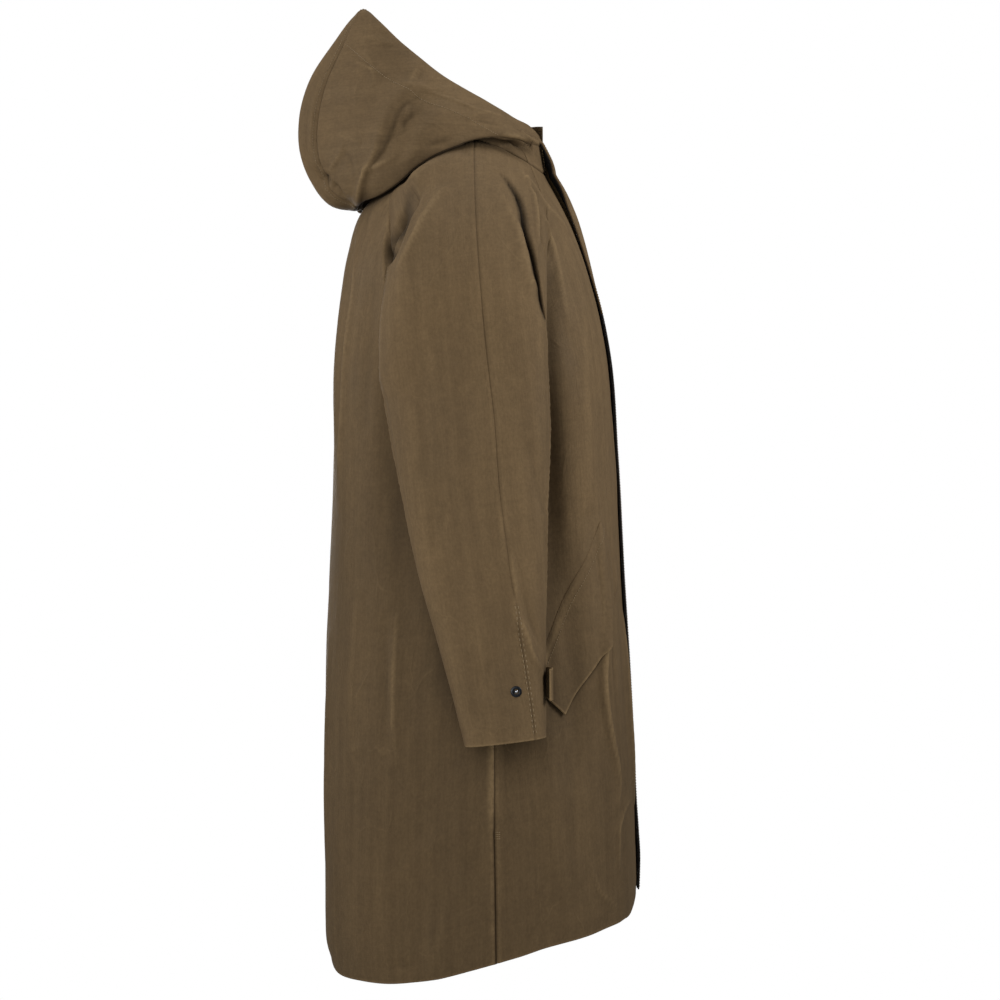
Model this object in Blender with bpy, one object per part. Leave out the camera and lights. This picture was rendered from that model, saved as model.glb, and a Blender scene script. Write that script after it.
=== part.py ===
"""Hooded raglan parka, filled out as if worn, with its hood thrown back.

Millimetres throughout, scaled to metres when a mesh is made. +Z is up, the front faces -Y, the
wearer's left is +X, and the origin is the middle of the neck opening, where the shoulders carry the coat.
"""

import math

import bmesh
import bpy
import numpy as np
from mathutils import Vector
from mathutils.bvhtree import BVHTree

# Driving dimensions
MM = 0.001
CLOTH = 1.6  # wall of the shell cloth
DOUBLED = 2.0  # wall of a piece made of two layers: fly, flap, cuff tab
FACING = 1.0  # wall of the black facing under the fly
SEAM_GAP = 0.3
CLEAR = 0.8  # height of an applied piece over the facets that carry it
RIGHT, LEFT = -1, 1  # sign of X on each side of the wearer
SQUARE = 2.3  # power of the body's and sleeve's superellipse sections

UNDERARM_Z = -272.0
ZIP_HALF_GAP = 1.0  # each front ends this far from the centre line, under the fly
COLLAR_X = 12.0  # where the neck stand begins, beside the centre line

# Cells along and across the panels
LOWER_ROWS, UPPER_ROWS = 9, 8
FRONT_COLUMNS = 7  # from the neck stand's front edge to the raglan or side seam
BACK_COLUMNS = 9  # from the centre back to the raglan or side seam
NECK_CELLS = 4  # of a sleeve half along the neck
CAP_ROWS, ARM_ROWS = 6, 7
HOOD_ROWS, STAND_ROWS, STRIP_COLUMNS = 7, 4, 4

# Level rings of the body: half width, and where the front, back and side seam lie
BODY_COLUMNS = ("z", "half_width", "front", "back", "side")
BODY = (
    (10, 76, -58, 78, 6),
    (-35, 104, -84, 112, 9),
    (-82, 150, -104, 152, 11),
    (-136, 184, -132, 168, 10),
    (-200, 200, -149, 177, 8),
    (-272, 207, -163, 184, 5),
    (-400, 212, -173, 188, 0),
    (-560, 217, -181, 193, -8),
    (-720, 222, -191, 199, -15),
    (-860, 226, -198, 200, -19),
    (-1060, 230, -202, 197, -22),
)

# The hem is cut longer behind than in front
HEM_COLUMNS = ("y", "z")
HEM = (
    (-204, -956),
    (-199, -968),
    (-193, -978),
    (-180, -984),
    (-150, -992),
    (-108, -1001),
    (-66, -1011),
    (-22, -1023),
    (39, -1040),
    (81, -1050),
    (132, -1055),
    (163, -1054),
    (185, -1050),
    (198, -1043),
)

# Raglan seams: share of the quarter ring from the centre line, at each height
RAGLAN_COLUMNS = ("z", "share")
RAGLAN_FRONT = (
    (-272, 1.0),
    (-240, 0.90),
    (-200, 0.745),
    (-136, 0.567),
    (-82, 0.463),
    (-24, 0.407),
)
RAGLAN_BACK = (
    (-272, 1.0),
    (-240, 0.92),
    (-200, 0.80),
    (-150, 0.66),
    (-121, 0.60),
    (-87, 0.58),
    (-56, 0.543),
    (-4, 0.52),
)
NECK_CENTRE_Z = {"front": -35.0, "back": -2.0}
SHOULDER_POINT = (80.0, -5.0, 3.0)  # top of the sleeve seam at the neck
NECK_BOW = (7.0, 0.0, 2.0)  # how far the neck seam bows out between that point and a raglan seam

# The body's largest folds: share of the quarter ring at both ends, ends in height, ridge's width and height
FOLD_COLUMNS = ("quarter", "side", "share_top", "share_low", "z_top", "z_low", "width", "height")
FOLDS = (
    ("back", RIGHT, 0.14, 0.28, -70, -480, 24, 6),
    ("back", LEFT, 0.17, 0.31, -80, -440, 26, 5),
    ("front", RIGHT, 0.41, 0.36, -430, -900, 30, 3.5),
    ("front", LEFT, 0.38, 0.33, -470, -880, 32, 3),
    ("front", RIGHT, 0.68, 0.64, -300, -820, 28, -13),
    ("front", LEFT, 0.70, 0.66, -310, -780, 28, -11),
    ("back", RIGHT, 0.60, 0.76, -230, -740, 27, -9),
    ("back", LEFT, 0.62, 0.76, -240, -720, 27, -8),
    ("back", RIGHT, 0.62, 0.55, -620, -1100, 34, 5),
    ("back", LEFT, 0.55, 0.52, -600, -1100, 32, 6),
)

# Sleeve rings: middle and half thickness in X, front and back edges, turn of the top seam to the front
SLEEVE_COLUMNS = ("z", "x_mid", "half_thick", "front", "back", "seam_turn")
SLEEVE = (
    (-305, 268, 52, -82, 116, 14),
    (-360, 270, 53, -83, 108, 17),
    (-445, 273, 52, -83, 92, 21),
    (-530, 276, 50, -82, 74, 25),
    (-625, 279, 46, -81, 48, 33),
    (-752, 281, 41, -80, 14, 42),
)
UNDERARM_TURN_DEG = 1.5  # the underarm seam lies a little to the front
CUFF_RISE = 11.0  # how much higher the cuff is at its front
SHOULDER_DROP = 0.30  # slope of the cloth where it leaves the neck
RAGLAN_DROP = 0.45  # slope of the cloth where it leaves the raglan seam
CAP_FULLNESS = 1.22  # length of the cap's end tangents over its chord

# Hood, right side outward: the face opening, the roll over the shoulders and the seam of the centre strip
HOOD_COLUMNS = ("x", "y", "z")
HOOD_OPENING = (
    (14, -80, 8),
    (32, -66, 16),
    (56, -45, 30),
    (78, -5, 54),
    (87, 50, 85),
    (76, 95, 123),
    (52, 132, 163),
    (33, 149, 180),
)
HOOD_ROLL = (
    (17, -81, 1),
    (46, -68, 3),
    (78, -45, 6),
    (109, -8, 4),
    (130, 25, -7),
    (140, 50, -19),
    (140, 78, -36),
    (127, 102, -55),
    (101, 128, -69),
    (66, 149, -73),
    (33, 160, -73),
)
STRIP_SEAM = (
    (33, 149, 180),
    (33, 181, 128),
    (33, 203, 82),
    (33, 214, 38),
    (33, 215, 0),
    (33, 206, -34),
    (33, 188, -63),
    (33, 160, -73),
)
STRIP_ARCH = 21.0  # how far the centre strip stands out behind its seams
HOOD_BULGE, BULGE_WAY = 18.0, (1.0, 0.15, 0.0)  # fullness of the hood's sides
HOOD_SWEEP = 2.5  # how late along the sides the crown's curve sets in
LEFT_CORNER_LIFT = (0.0, -3.0, 22.0)  # the left front corner of the hood stands up
STAND_ARCH = 26.0  # height of the neck's roll over the shoulders

# Folds of the hood's side, in shares along the opening and down from it
HOOD_FOLD_COLUMNS = ("along_top", "down_top", "along_low", "down_low", "width", "height")
HOOD_FOLDS = (
    (0.62, 0.25, 0.74, 0.95, 0.06, 6.0),
    (0.52, 0.25, 0.64, 0.80, 0.06, -6.0),
)

# The fly on the left front: height over the fronts, and the forward bend of its free edge
FLY_COLUMNS = ("z", "lift", "curl")
FLY = (
    (-6, 4, 0),
    (-21, 9, 0.8),
    (-45, 13, 1),
    (-82, 12, 0.8),
    (-136, 6.4, 0.6),
    (-200, 4.4, 0.5),
    (-400, 4.2, 0.4),
    (-720, 4.4, 0.5),
    (-800, 4.6, 1.2),
    (-860, 5, 4),
    (-900, 5, 6),
    (-940, 5, 4.5),
    (-962, 5, 3),
)
FLY_TOP_Z, FLY_LOW_Z = -6.0, -957.0
FLY_X = (38.0, 23.0, 8.0, -5.0, -18.0, -32.0)  # from the sewn edge on the left front to the free edge
FACING_FROM = 2  # the facing begins at this line of the fly

# Slanted pocket flap, in girth from the centre front and height
FLAP_CORNER = (224.0, -721.0)  # low end of the free edge
FLAP_LENGTH, FLAP_WIDTHS = 235.0, (62.0, 96.0)  # width at the low end and at the front end
FLAP_SLANT_DEG = 49.0  # rise of its long edges towards the front
FLAP_STAND_OFF = 3.0  # of its free edge
FLAP_CLEAR = 1.25  # of its underside over the facets below
FLAP_CELLS = (17, 6)

# Cuff: stud on the outer side, tab round the front edge
STUD_AT = (-45.0, -685.0)  # y and z on the sleeve
STUD_RADIUS, STUD_HEIGHT, STUD_SOCKET = 6.0, 2.6, 3.0
STUD_SIDES = 14
TAB_Z = (-668.0, -709.0)
TAB_TURNS_DEG = (28.0, 116.0)  # from the sewn end inside to the free end outside
TAB_STAND_OFF = 3.8
TAB_CELLS = (10, 2)

PAINT = {  # base colour, roughness, metallic
    "waxed_cotton": ((0.147, 0.103, 0.053), 0.78, 0.0),
    "black_facing": ((0.010, 0.009, 0.008), 0.85, 0.0),
    "black_snap": ((0.012, 0.015, 0.020), 0.38, 0.6),
}


def smooth_table(columns, rows):
    """A smooth function of the first column for each other column, by name."""
    order = np.array(sorted(rows), float)
    knots, functions = order[:, 0], {}
    for index, name in enumerate(columns[1:], 1):
        values = order[:, index]
        functions[name] = hermite_through(knots, values, np.gradient(values, knots))
    return functions


def hermite_through(knots, values, slopes):
    def value(at):
        at = min(max(at, knots[0]), knots[-1])
        i = min(int(np.searchsorted(knots, at, "right")) - 1, len(knots) - 2)
        i = max(i, 0)
        step = knots[i + 1] - knots[i]
        s = (at - knots[i]) / step
        return (
            (2 * s**3 - 3 * s**2 + 1) * values[i]
            + (s**3 - 2 * s**2 + s) * step * slopes[i]
            + (3 * s**2 - 2 * s**3) * values[i + 1]
            + (s**3 - s**2) * step * slopes[i + 1]
        )

    return value


def smooth_step(low, high, at):
    s = min(max((at - low) / (high - low), 0.0), 1.0)
    return s * s * (3 - 2 * s)


def unit(vector):
    return vector / max(np.linalg.norm(vector), 1e-12)


def along(points, shares):
    """Points at the given shares of the length of a smooth curve through points."""
    points = np.array(points, float)
    knots = np.concatenate([[0], np.cumsum(np.linalg.norm(np.diff(points, axis=0), axis=1))])
    axes = [hermite_through(knots, points[:, k], np.gradient(points[:, k], knots)) for k in range(3)]
    fine = np.array([[axis(s) for axis in axes] for s in np.linspace(0, knots[-1], 200)])
    length = np.concatenate([[0], np.cumsum(np.linalg.norm(np.diff(fine, axis=0), axis=1))])
    at = np.array(shares) * length[-1]
    return np.stack([np.interp(at, length, fine[:, k]) for k in range(3)], axis=1)


# The body's own shape

body_at = smooth_table(BODY_COLUMNS, BODY)
hem_at = smooth_table(HEM_COLUMNS, HEM)["z"]
raglan_at = {
    "front": smooth_table(RAGLAN_COLUMNS, RAGLAN_FRONT)["share"],
    "back": smooth_table(RAGLAN_COLUMNS, RAGLAN_BACK)["share"],
}


def squared(ratio):
    """A sine or cosine brought nearer to its ends, which makes a round section squarer."""
    return math.copysign(abs(ratio) ** (2 / SQUARE), ratio)


def plain_body_point(quarter, share, z):
    """A point of the right or left half, X outward: share 0 is the centre line, 1 the side seam."""
    angle = share * math.pi / 2
    side, end = body_at["side"](z), body_at[quarter](z)
    x = body_at["half_width"](z) * squared(math.sin(angle))
    return np.array([x, side + (end - side) * squared(math.cos(angle)), z])


def fold_height(quarter, side, share, z):
    height = 0.0
    for row in FOLDS:
        fold = dict(zip(FOLD_COLUMNS, row))
        if (fold["quarter"], fold["side"]) != (quarter, side):
            continue
        down = (fold["z_top"] - z) / (fold["z_top"] - fold["z_low"])
        if not 0 < down < 1:
            continue
        middle = fold["share_top"] + (fold["share_low"] - fold["share_top"]) * down
        quarter_length = 1.35 * body_at["half_width"](z)
        across = (share - middle) * quarter_length / fold["width"]
        height += fold["height"] * math.exp(-(across**2)) * math.sin(math.pi * down) ** 0.7
    return height


def body_point(quarter, side, share, z):
    """A point of the cloth with its folds, X outward."""
    point = plain_body_point(quarter, share, z)
    middle = np.array([0.0, body_at["side"](z), z])
    return point + unit(point - middle) * fold_height(quarter, side, share, z)


def share_at_x(z, x):
    """The share of the front quarter ring at a distance from the centre line."""
    ratio = min(abs(x) / body_at["half_width"](z), 1.0)
    return math.copysign(math.asin(ratio ** (SQUARE / 2)) * 2 / math.pi, x)


def share_at_girth(z, girth):
    """The share of the front quarter ring at a distance along the cloth from the centre front."""
    shares = np.linspace(0, 1, 80)
    ring = np.array([plain_body_point("front", s, z) for s in shares])
    lengths = np.concatenate([[0], np.cumsum(np.linalg.norm(np.diff(ring, axis=0), axis=1))])
    return float(np.interp(girth, lengths, shares))


def hem_z(quarter, share):
    z = -1000.0
    for _ in range(4):
        z = hem_at(plain_body_point(quarter, share, z)[1])
    return z


def body_panel(quarter, side, columns):
    """Rows of points from the hem to the neck, columns from the centre line to the side and raglan seams."""
    rows = []
    neck_z = RAGLAN_FRONT[-1][0] if quarter == "front" else RAGLAN_BACK[-1][0]
    for k in range(LOWER_ROWS + UPPER_ROWS + 1):
        rise = max(k - LOWER_ROWS, 0) / UPPER_ROWS
        seam_z = UNDERARM_Z + (neck_z - UNDERARM_Z) * rise
        centre_z = UNDERARM_Z + (NECK_CENTRE_Z[quarter] - UNDERARM_Z) * rise
        edge = raglan_at[quarter](seam_z)
        row = []
        for column in columns:
            across = column["across"]
            z = centre_z + (seam_z - centre_z) * across**2
            start = share_at_x(z, column["from_x"])
            share = start + (edge - start) * across
            if k < LOWER_ROWS:
                low = hem_z(quarter, share)
                z = low + (UNDERARM_Z - low) * k / LOWER_ROWS
                start = share_at_x(z, column["from_x"])
                share = start + (edge - start) * across
            row.append(body_point(quarter, side, share, z))
        rows.append(row)
    return np.array(rows)


def front_columns():
    first = [{"across": 0.0, "from_x": ZIP_HALF_GAP}]
    return first + [{"across": c / FRONT_COLUMNS, "from_x": COLLAR_X} for c in range(FRONT_COLUMNS + 1)]


def back_columns():
    return [{"across": c / BACK_COLUMNS, "from_x": 0.0} for c in range(BACK_COLUMNS + 1)]


# Sleeves

sleeve_at = smooth_table(SLEEVE_COLUMNS, SLEEVE)
SLEEVE_TOP_Z, CUFF_Z = SLEEVE[0][0], SLEEVE[-1][0]


def sleeve_point(z, turn_deg):
    """A point of a sleeve ring, X outward: turn 0 faces the body, 90 the front, 180 outward, 270 the back."""
    turn = math.radians(turn_deg)
    front, back = sleeve_at["front"](z), sleeve_at["back"](z)
    x = sleeve_at["x_mid"](z) - sleeve_at["half_thick"](z) * squared(math.cos(turn))
    y = (front + back) / 2 - (back - front) / 2 * squared(math.sin(turn))
    down = (SLEEVE_TOP_Z - z) / (SLEEVE_TOP_Z - CUFF_Z)
    rise = CUFF_RISE * (back - y) / (back - front) * max(down, 0.0) ** 2
    return np.array([x, y, z + rise])


def cap_edge(body_half):
    """The sleeve half's upper edge: up the raglan seam from the underarm, then along the neck."""
    seam = [row[-1] for row in body_half[LOWER_ROWS:]]
    top, shoulder = seam[-1], np.array(SHOULDER_POINT)
    bow = np.array(NECK_BOW)
    neck = []
    for i in range(1, NECK_CELLS + 1):
        s = i / NECK_CELLS
        neck.append(top + (shoulder - top) * s + bow * 4 * s * (1 - s))
    return np.array(seam + neck)


def sleeve_panel(half, body_half):
    """Rows from the raglan seam and neck to the cuff, columns from the underarm seam to the top seam."""
    edge = cap_edge(body_half)
    last = len(edge) - 1
    rows = [edge]
    for k in range(1, CAP_ROWS + ARM_ROWS + 1):
        row = []
        for i, start in enumerate(edge):
            z = SLEEVE_TOP_Z + (CUFF_Z - SLEEVE_TOP_Z) * max(k - CAP_ROWS, 0) / ARM_ROWS
            top_turn = 180 - sleeve_at["seam_turn"](z)
            start_turn = UNDERARM_TURN_DEG + (360 if half == "back" else 0)
            turn = start_turn + (top_turn - start_turn) * i / last
            end = sleeve_point(z, turn)
            if k < CAP_ROWS:
                drop = SHOULDER_DROP if i >= UPPER_ROWS else RAGLAN_DROP
                reach = CAP_FULLNESS * np.linalg.norm(end - start)
                leave = unit(np.array([1.0, 0.0, -drop])) * reach
                arrive = unit(np.array([0.03, 0.0, -1.0])) * reach
                s = k / CAP_ROWS
                end = (
                    (2 * s**3 - 3 * s**2 + 1) * start
                    + (s**3 - 2 * s**2 + s) * leave
                    + (3 * s**2 - 2 * s**3) * end
                    + (s**3 - s**2) * arrive
                )
            row.append(end)
        rows.append(np.array(row))
    return np.array(rows)


# Hood

def lifted(points, side):
    """The left front corner of the hood's opening stands up."""
    points = np.array(points, float)
    if side == LEFT:
        fade = np.clip(1 - np.arange(len(points)) / 3, 0, 1)
        points += np.outer(fade, LEFT_CORNER_LIFT)
    return points


def hood_spacing(neck_half):
    """Shares along the hood's roll that lie out from the neck seam's own points."""
    roll = along(HOOD_ROLL, np.linspace(0, 1, 200))
    turns = [np.unwrap(np.arctan2(line[:, 0], -line[:, 1])) for line in (neck_half, roll)]
    neck_turn, roll_turn = [(turn - turn[0]) / (turn[-1] - turn[0]) for turn in turns]
    return np.interp(neck_turn, roll_turn, np.linspace(0, 1, 200))


def hood_side(side, spacing):
    """Rows from the face opening to the roll, columns from the front corner to the centre strip's seam."""
    opening, roll = along(lifted(HOOD_OPENING, side), spacing), along(HOOD_ROLL, spacing)
    down = np.linspace(0, 1, HOOD_ROWS + 1)
    seam = along(STRIP_SEAM, down)
    rows = []
    for q, seam_point in zip(down, seam):
        bow = seam_point - (1 - q) * seam[0] - q * seam[-1]
        row = []
        for i, r in enumerate(spacing):
            full = 4 * q * (1 - q) * math.sin(math.pi * r) ** 0.8
            out = HOOD_BULGE * full + hood_fold(r, q) * math.sin(math.pi * q)
            straight = (1 - q) * opening[i] + q * roll[i]
            row.append(straight + bow * r**HOOD_SWEEP + out * np.array(BULGE_WAY))
        rows.append(row)
    return np.array(rows)


def hood_fold(r, q):
    height = 0.0
    for row in HOOD_FOLDS:
        fold = dict(zip(HOOD_FOLD_COLUMNS, row))
        start = np.array([fold["along_top"], fold["down_top"]])
        run = np.array([fold["along_low"], fold["down_low"]]) - start
        s = min(max(float(np.dot([r, q] - start, run) / np.dot(run, run)), 0.0), 1.0)
        away = np.linalg.norm([r, q] - start - s * run)
        height += fold["height"] * math.exp(-((away / fold["width"]) ** 2))
    return height


def centre_strip():
    """Rows from the peak to the roll, columns from the right seam to the left one."""
    seam = along(STRIP_SEAM, np.linspace(0, 1, HOOD_ROWS + 1))
    rows = []
    for k, edge in enumerate(seam):
        before, after = seam[max(k - 1, 0)], seam[min(k + 1, HOOD_ROWS)]
        run = unit(after - before)
        out = np.array([0.0, -run[2], run[1]])
        row = []
        for i in range(STRIP_COLUMNS + 1):
            turn = math.pi * i / STRIP_COLUMNS
            across = math.cos(turn)
            arch = STRIP_ARCH * math.sin(turn) * math.sin(math.pi * (0.12 + 0.8 * k / HOOD_ROWS))
            row.append(np.array([-edge[0] * across, edge[1], edge[2]]) + out * arch)
        rows.append(row)
    return np.array(rows)


def neck_stand(neck_line, roll_line):
    """Rows from the neck seam to the hood's roll, columns round the neck from the right front to the left."""
    rows = []
    for k in range(STAND_ROWS + 1):
        s = k / STAND_ROWS
        row = []
        for low, high in zip(neck_line, roll_line):
            spread = np.linalg.norm((high - low)[:2])
            arch = STAND_ARCH * smooth_step(0, 45, spread) * 6.75 * s * (1 - s) ** 2
            row.append(low + (high - low) * s + np.array([0.0, 0.0, arch]))
        rows.append(row)
    return np.array(rows)


# Fly and facing

fly_at = smooth_table(FLY_COLUMNS, FLY)


def fly_point(x, z):
    """A point of the fly's outer face, X towards the left sleeve."""
    on_front = min(z, NECK_CENTRE_Z["front"])
    share = share_at_x(on_front, abs(x))
    y = body_point("front", LEFT if x > 0 else RIGHT, share, on_front)[1]
    sewn = SEAM_GAP + DOUBLED + CLEAR
    lift = sewn + (fly_at["lift"](z) - sewn) * smooth_step(FLY_X[0], 10.0, x)
    curl = fly_at["curl"](z) * smooth_step(-12.0, FLY_X[-1], x)
    return np.array([x, y - lift - curl, z])


def fly_panel(front):
    """Rows at the left front's own heights and one at the top of the neck stand, columns across the fly."""
    heights = [FLY_LOW_Z] + [row[1][2] for row in front[1:]] + [FLY_TOP_Z]
    return np.array([[fly_point(x, z) for x in FLY_X] for z in heights])


# Panels become closed solids

class Panel:
    """One cut piece: a grid of points on its outer face, in mm, and the way out of the wall at each."""

    def __init__(self, name, points, wall, paint, inside, halves=1):
        self.name, self.points, self.wall, self.paint = name, np.array(points, float), wall, paint
        self.halves = halves  # 2 when the columns run from the right side over the centre line to the left
        along_rows = np.gradient(self.points, axis=0)
        along_columns = np.gradient(self.points, axis=1)
        normals = np.cross(along_rows, along_columns)
        normals /= np.maximum(np.linalg.norm(normals, axis=2, keepdims=True), 1e-12)
        outward = ((self.points - np.array(inside)) * normals).sum()
        self.normals = normals if outward > 0 else -normals

    def edge_indices(self):
        rows, columns = self.points.shape[:2]
        every = [(i, j) for i in range(rows) for j in range(columns)]
        return [(i, j) for i, j in every if i in (0, rows - 1) or j in (0, columns - 1)]

    def pull_back(self, distance):
        """Moves each edge into the panel, at right angles to the edge, to leave a seam's gap."""
        rows, columns = self.points.shape[:2]
        for line, inner in ((0, 1), (rows - 1, rows - 2)):
            self.points[line] = moved_in(self.points[line], self.points[inner], distance)
        for line, inner in ((0, 1), (columns - 1, columns - 2)):
            self.points[:, line] = moved_in(self.points[:, line], self.points[:, inner], distance)

    def solid(self):
        rows, columns = self.points.shape[:2]
        outer = self.points.reshape(-1, 3)
        inner = (self.points - self.wall * self.normals).reshape(-1, 3)
        count = rows * columns
        faces = []
        for i in range(rows - 1):
            for j in range(columns - 1):
                a = i * columns + j
                b, c, d = a + 1, a + columns + 1, a + columns
                if self.halves == 2 and 2 * j < columns - 1:
                    a, b, c, d = b, c, d, a
                faces += [(a, b, c), (a, c, d)]
                faces += [(count + c, count + b, count + a), (count + d, count + c, count + a)]
        rim = [j for j in range(columns)]
        rim += [i * columns + columns - 1 for i in range(1, rows)]
        rim += [(rows - 1) * columns + j for j in range(columns - 2, -1, -1)]
        rim += [i * columns for i in range(rows - 2, 0, -1)]
        for a, b in zip(rim, rim[1:] + rim[:1]):
            low, high = sorted((a, b), key=lambda v: (round(outer[v][2], 1), round(abs(outer[v][0]), 1)))
            faces += [(low, high, count + high), (low, count + high, count + low)]
        return add_mesh(self.name, np.concatenate([outer, inner]), faces, self.paint)


def moved_in(edge, inner, distance):
    run = np.gradient(edge, axis=0)
    run /= np.maximum(np.linalg.norm(run, axis=1, keepdims=True), 1e-12)
    way = inner - edge
    way -= (way * run).sum(axis=1, keepdims=True) * run
    return edge + distance * way / np.maximum(np.linalg.norm(way, axis=1, keepdims=True), 1e-12)


def share_seam_normals(panels):
    """Where panels meet, their walls lean the same way, so a seam's gap is even through the wall."""
    meeting = {}
    for panel in panels:
        for i, j in panel.edge_indices():
            key = tuple(np.round(panel.points[i, j], 1))
            meeting.setdefault(key, []).append((panel, i, j))
    for group in meeting.values():
        shared = unit(sum(panel.normals[i, j] for panel, i, j in group))
        for panel, i, j in group:
            panel.normals[i, j] = shared


def mirrored(points, side):
    points = np.array(points, float)
    points[..., 0] *= side
    return points


def add_mesh(name, points, faces, paint):
    mesh = bpy.data.meshes.new(name)
    mesh.from_pydata((np.asarray(points) * MM).tolist(), [], [tuple(map(int, f)) for f in faces])
    shape = bmesh.new()
    shape.from_mesh(mesh)
    bmesh.ops.recalc_face_normals(shape, faces=shape.faces)
    shape.to_mesh(mesh)
    shape.free()
    mesh.shade_smooth()
    mesh.set_sharp_from_angle(angle=math.radians(50))
    piece = bpy.data.objects.new(name, mesh)
    bpy.context.scene.collection.objects.link(piece)
    piece.parent = bpy.data.objects["parka"]
    mesh.materials.append(bpy.data.materials[paint])
    return piece


def outer_faces(panel):
    """A panel's outer face in mm, for pieces that lie on it."""
    rows, columns = panel.points.shape[:2]
    corners = [i * columns + j for i in range(rows - 1) for j in range(columns - 1)]
    faces = [(a, a + 1, a + columns + 1) for a in corners]
    faces += [(a, a + columns + 1, a + columns) for a in corners]
    return BVHTree.FromPolygons([Vector(p) for p in panel.points.reshape(-1, 3)], faces)


def seated(tree, point, out, height):
    """The point moved along out, so that it lies that far over the panel."""
    place = tree.ray_cast(Vector(point + 40 * out), Vector(-out), 80.0)[0]
    base = np.array(place) if place is not None else np.array(tree.find_nearest(Vector(point))[0])
    return base + height * out


# Applied pieces

def pocket_flap(side, carrier):
    """Rows from the sewn edge to the free edge, columns from the front end to the back one."""
    tree = outer_faces(carrier)
    slant = math.radians(FLAP_SLANT_DEG)
    up_front = np.array([-math.cos(slant), math.sin(slant)])
    up_back = np.array([math.sin(slant), math.cos(slant)])
    rows = []
    for k in range(FLAP_CELLS[1] + 1):
        w, row = k / FLAP_CELLS[1], []
        for i in range(FLAP_CELLS[0] + 1):
            s = 1 - i / FLAP_CELLS[0]
            width = FLAP_WIDTHS[0] + (FLAP_WIDTHS[1] - FLAP_WIDTHS[0]) * s
            girth, z = np.array(FLAP_CORNER) + up_front * FLAP_LENGTH * s + up_back * width * (1 - w)
            share = share_at_girth(z, girth)
            point = plain_body_point("front", share, z)
            step = plain_body_point("front", share + 0.01, z) - point
            out = unit(np.array([step[1], -step[0], 0.0]))
            stand_off = FLAP_STAND_OFF * w**2 * (1.2 - 0.6 * s)
            height = FLAP_CLEAR + DOUBLED + stand_off
            row.append(seated(tree, mirrored(point, side), mirrored(out, side), height))
        rows.append(row)
    return np.array(rows)


def cuff_tab(side):
    """Rows across the strap, columns from its sewn end on the inner side round the front to its free end."""
    rows = []
    for k in range(TAB_CELLS[1] + 1):
        z = TAB_Z[0] + (TAB_Z[1] - TAB_Z[0]) * k / TAB_CELLS[1]
        row = []
        for i in range(TAB_CELLS[0] + 1):
            s = i / TAB_CELLS[0]
            turn = TAB_TURNS_DEG[0] + (TAB_TURNS_DEG[1] - TAB_TURNS_DEG[0]) * s
            point = sleeve_point(z, turn)
            step = sleeve_point(z, turn + 1) - point
            out = unit(np.array([step[1], -step[0], 0.0]))
            height = CLEAR + DOUBLED + TAB_STAND_OFF * smooth_step(0.25, 0.75, s)
            row.append(point + height * out)
        rows.append(row)
    return mirrored(np.array(rows), side)


def cuff_stud(name, side, carrier):
    """A turned press stud: a round base with a rim and a socket, its axis square to the sleeve."""
    y, z = STUD_AT
    tree = outer_faces(carrier)
    aim = Vector((side * 500.0, y, z))
    place, normal = tree.ray_cast(aim, Vector((-side, 0.0, 0.0)))[:2]
    normal = normal if normal.x * side > 0 else -normal
    profile = ((0, 0), (STUD_RADIUS, 0), (STUD_RADIUS, 1.2), (STUD_RADIUS - 1, STUD_HEIGHT),
               (STUD_SOCKET, STUD_HEIGHT), (STUD_SOCKET, STUD_HEIGHT - 1.2), (0, STUD_HEIGHT - 0.8))
    shape = bmesh.new()
    edge = [shape.verts.new((r * MM, 0.0, h * MM)) for r, h in profile]
    lines = [shape.edges.new(pair) for pair in zip(edge, edge[1:])]
    whole = {"axis": (0, 0, 1), "cent": (0, 0, 0), "steps": STUD_SIDES, "angle": 2 * math.pi}
    bmesh.ops.spin(shape, geom=edge + lines, **whole)
    bmesh.ops.remove_doubles(shape, verts=shape.verts, dist=1e-6)
    bmesh.ops.recalc_face_normals(shape, faces=shape.faces)
    mesh = bpy.data.meshes.new(name)
    shape.to_mesh(mesh)
    shape.free()
    mesh.shade_smooth()
    mesh.set_sharp_from_angle(angle=math.radians(40))
    mesh.materials.append(bpy.data.materials["black_snap"])
    stud = bpy.data.objects.new(name, mesh)
    bpy.context.scene.collection.objects.link(stud)
    stud.parent = bpy.data.objects["parka"]
    stud.location = (place + normal * CLEAR) * MM
    stud.rotation_mode = "QUATERNION"
    stud.rotation_quaternion = normal.to_track_quat("Z", "Y")


def add_paints():
    for name, (colour, roughness, metallic) in PAINT.items():
        material = bpy.data.materials.new(name)
        material.use_nodes = True
        shader = material.node_tree.nodes["Principled BSDF"]
        shader.inputs["Base Color"].default_value = (*colour, 1)
        shader.inputs["Roughness"].default_value = roughness
        shader.inputs["Metallic"].default_value = metallic


def neck_half(side, fronts, backs, edges):
    """The neck seam from the stand's front edge to the centre back."""
    front_top = fronts[side][-1][1:]
    sleeve_front = edges[side, "front"][UPPER_ROWS + 1:]
    sleeve_back = edges[side, "back"][UPPER_ROWS:-1][::-1]
    back_top = backs[side][-1][:-1][::-1]
    return np.concatenate([front_top, sleeve_front, sleeve_back, back_top])


def roll_half(side, spacing):
    """The hood's roll from its front corner to the centre back, past the seam of the centre strip."""
    low = centre_strip()[-1]
    half = STRIP_COLUMNS // 2
    under = low[1:half + 1] if side == RIGHT else low[half:-1][::-1]
    return np.concatenate([mirrored(along(HOOD_ROLL, spacing), side), under])


def whole_line(right, left):
    return np.concatenate([right, left[:-1][::-1]])


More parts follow.
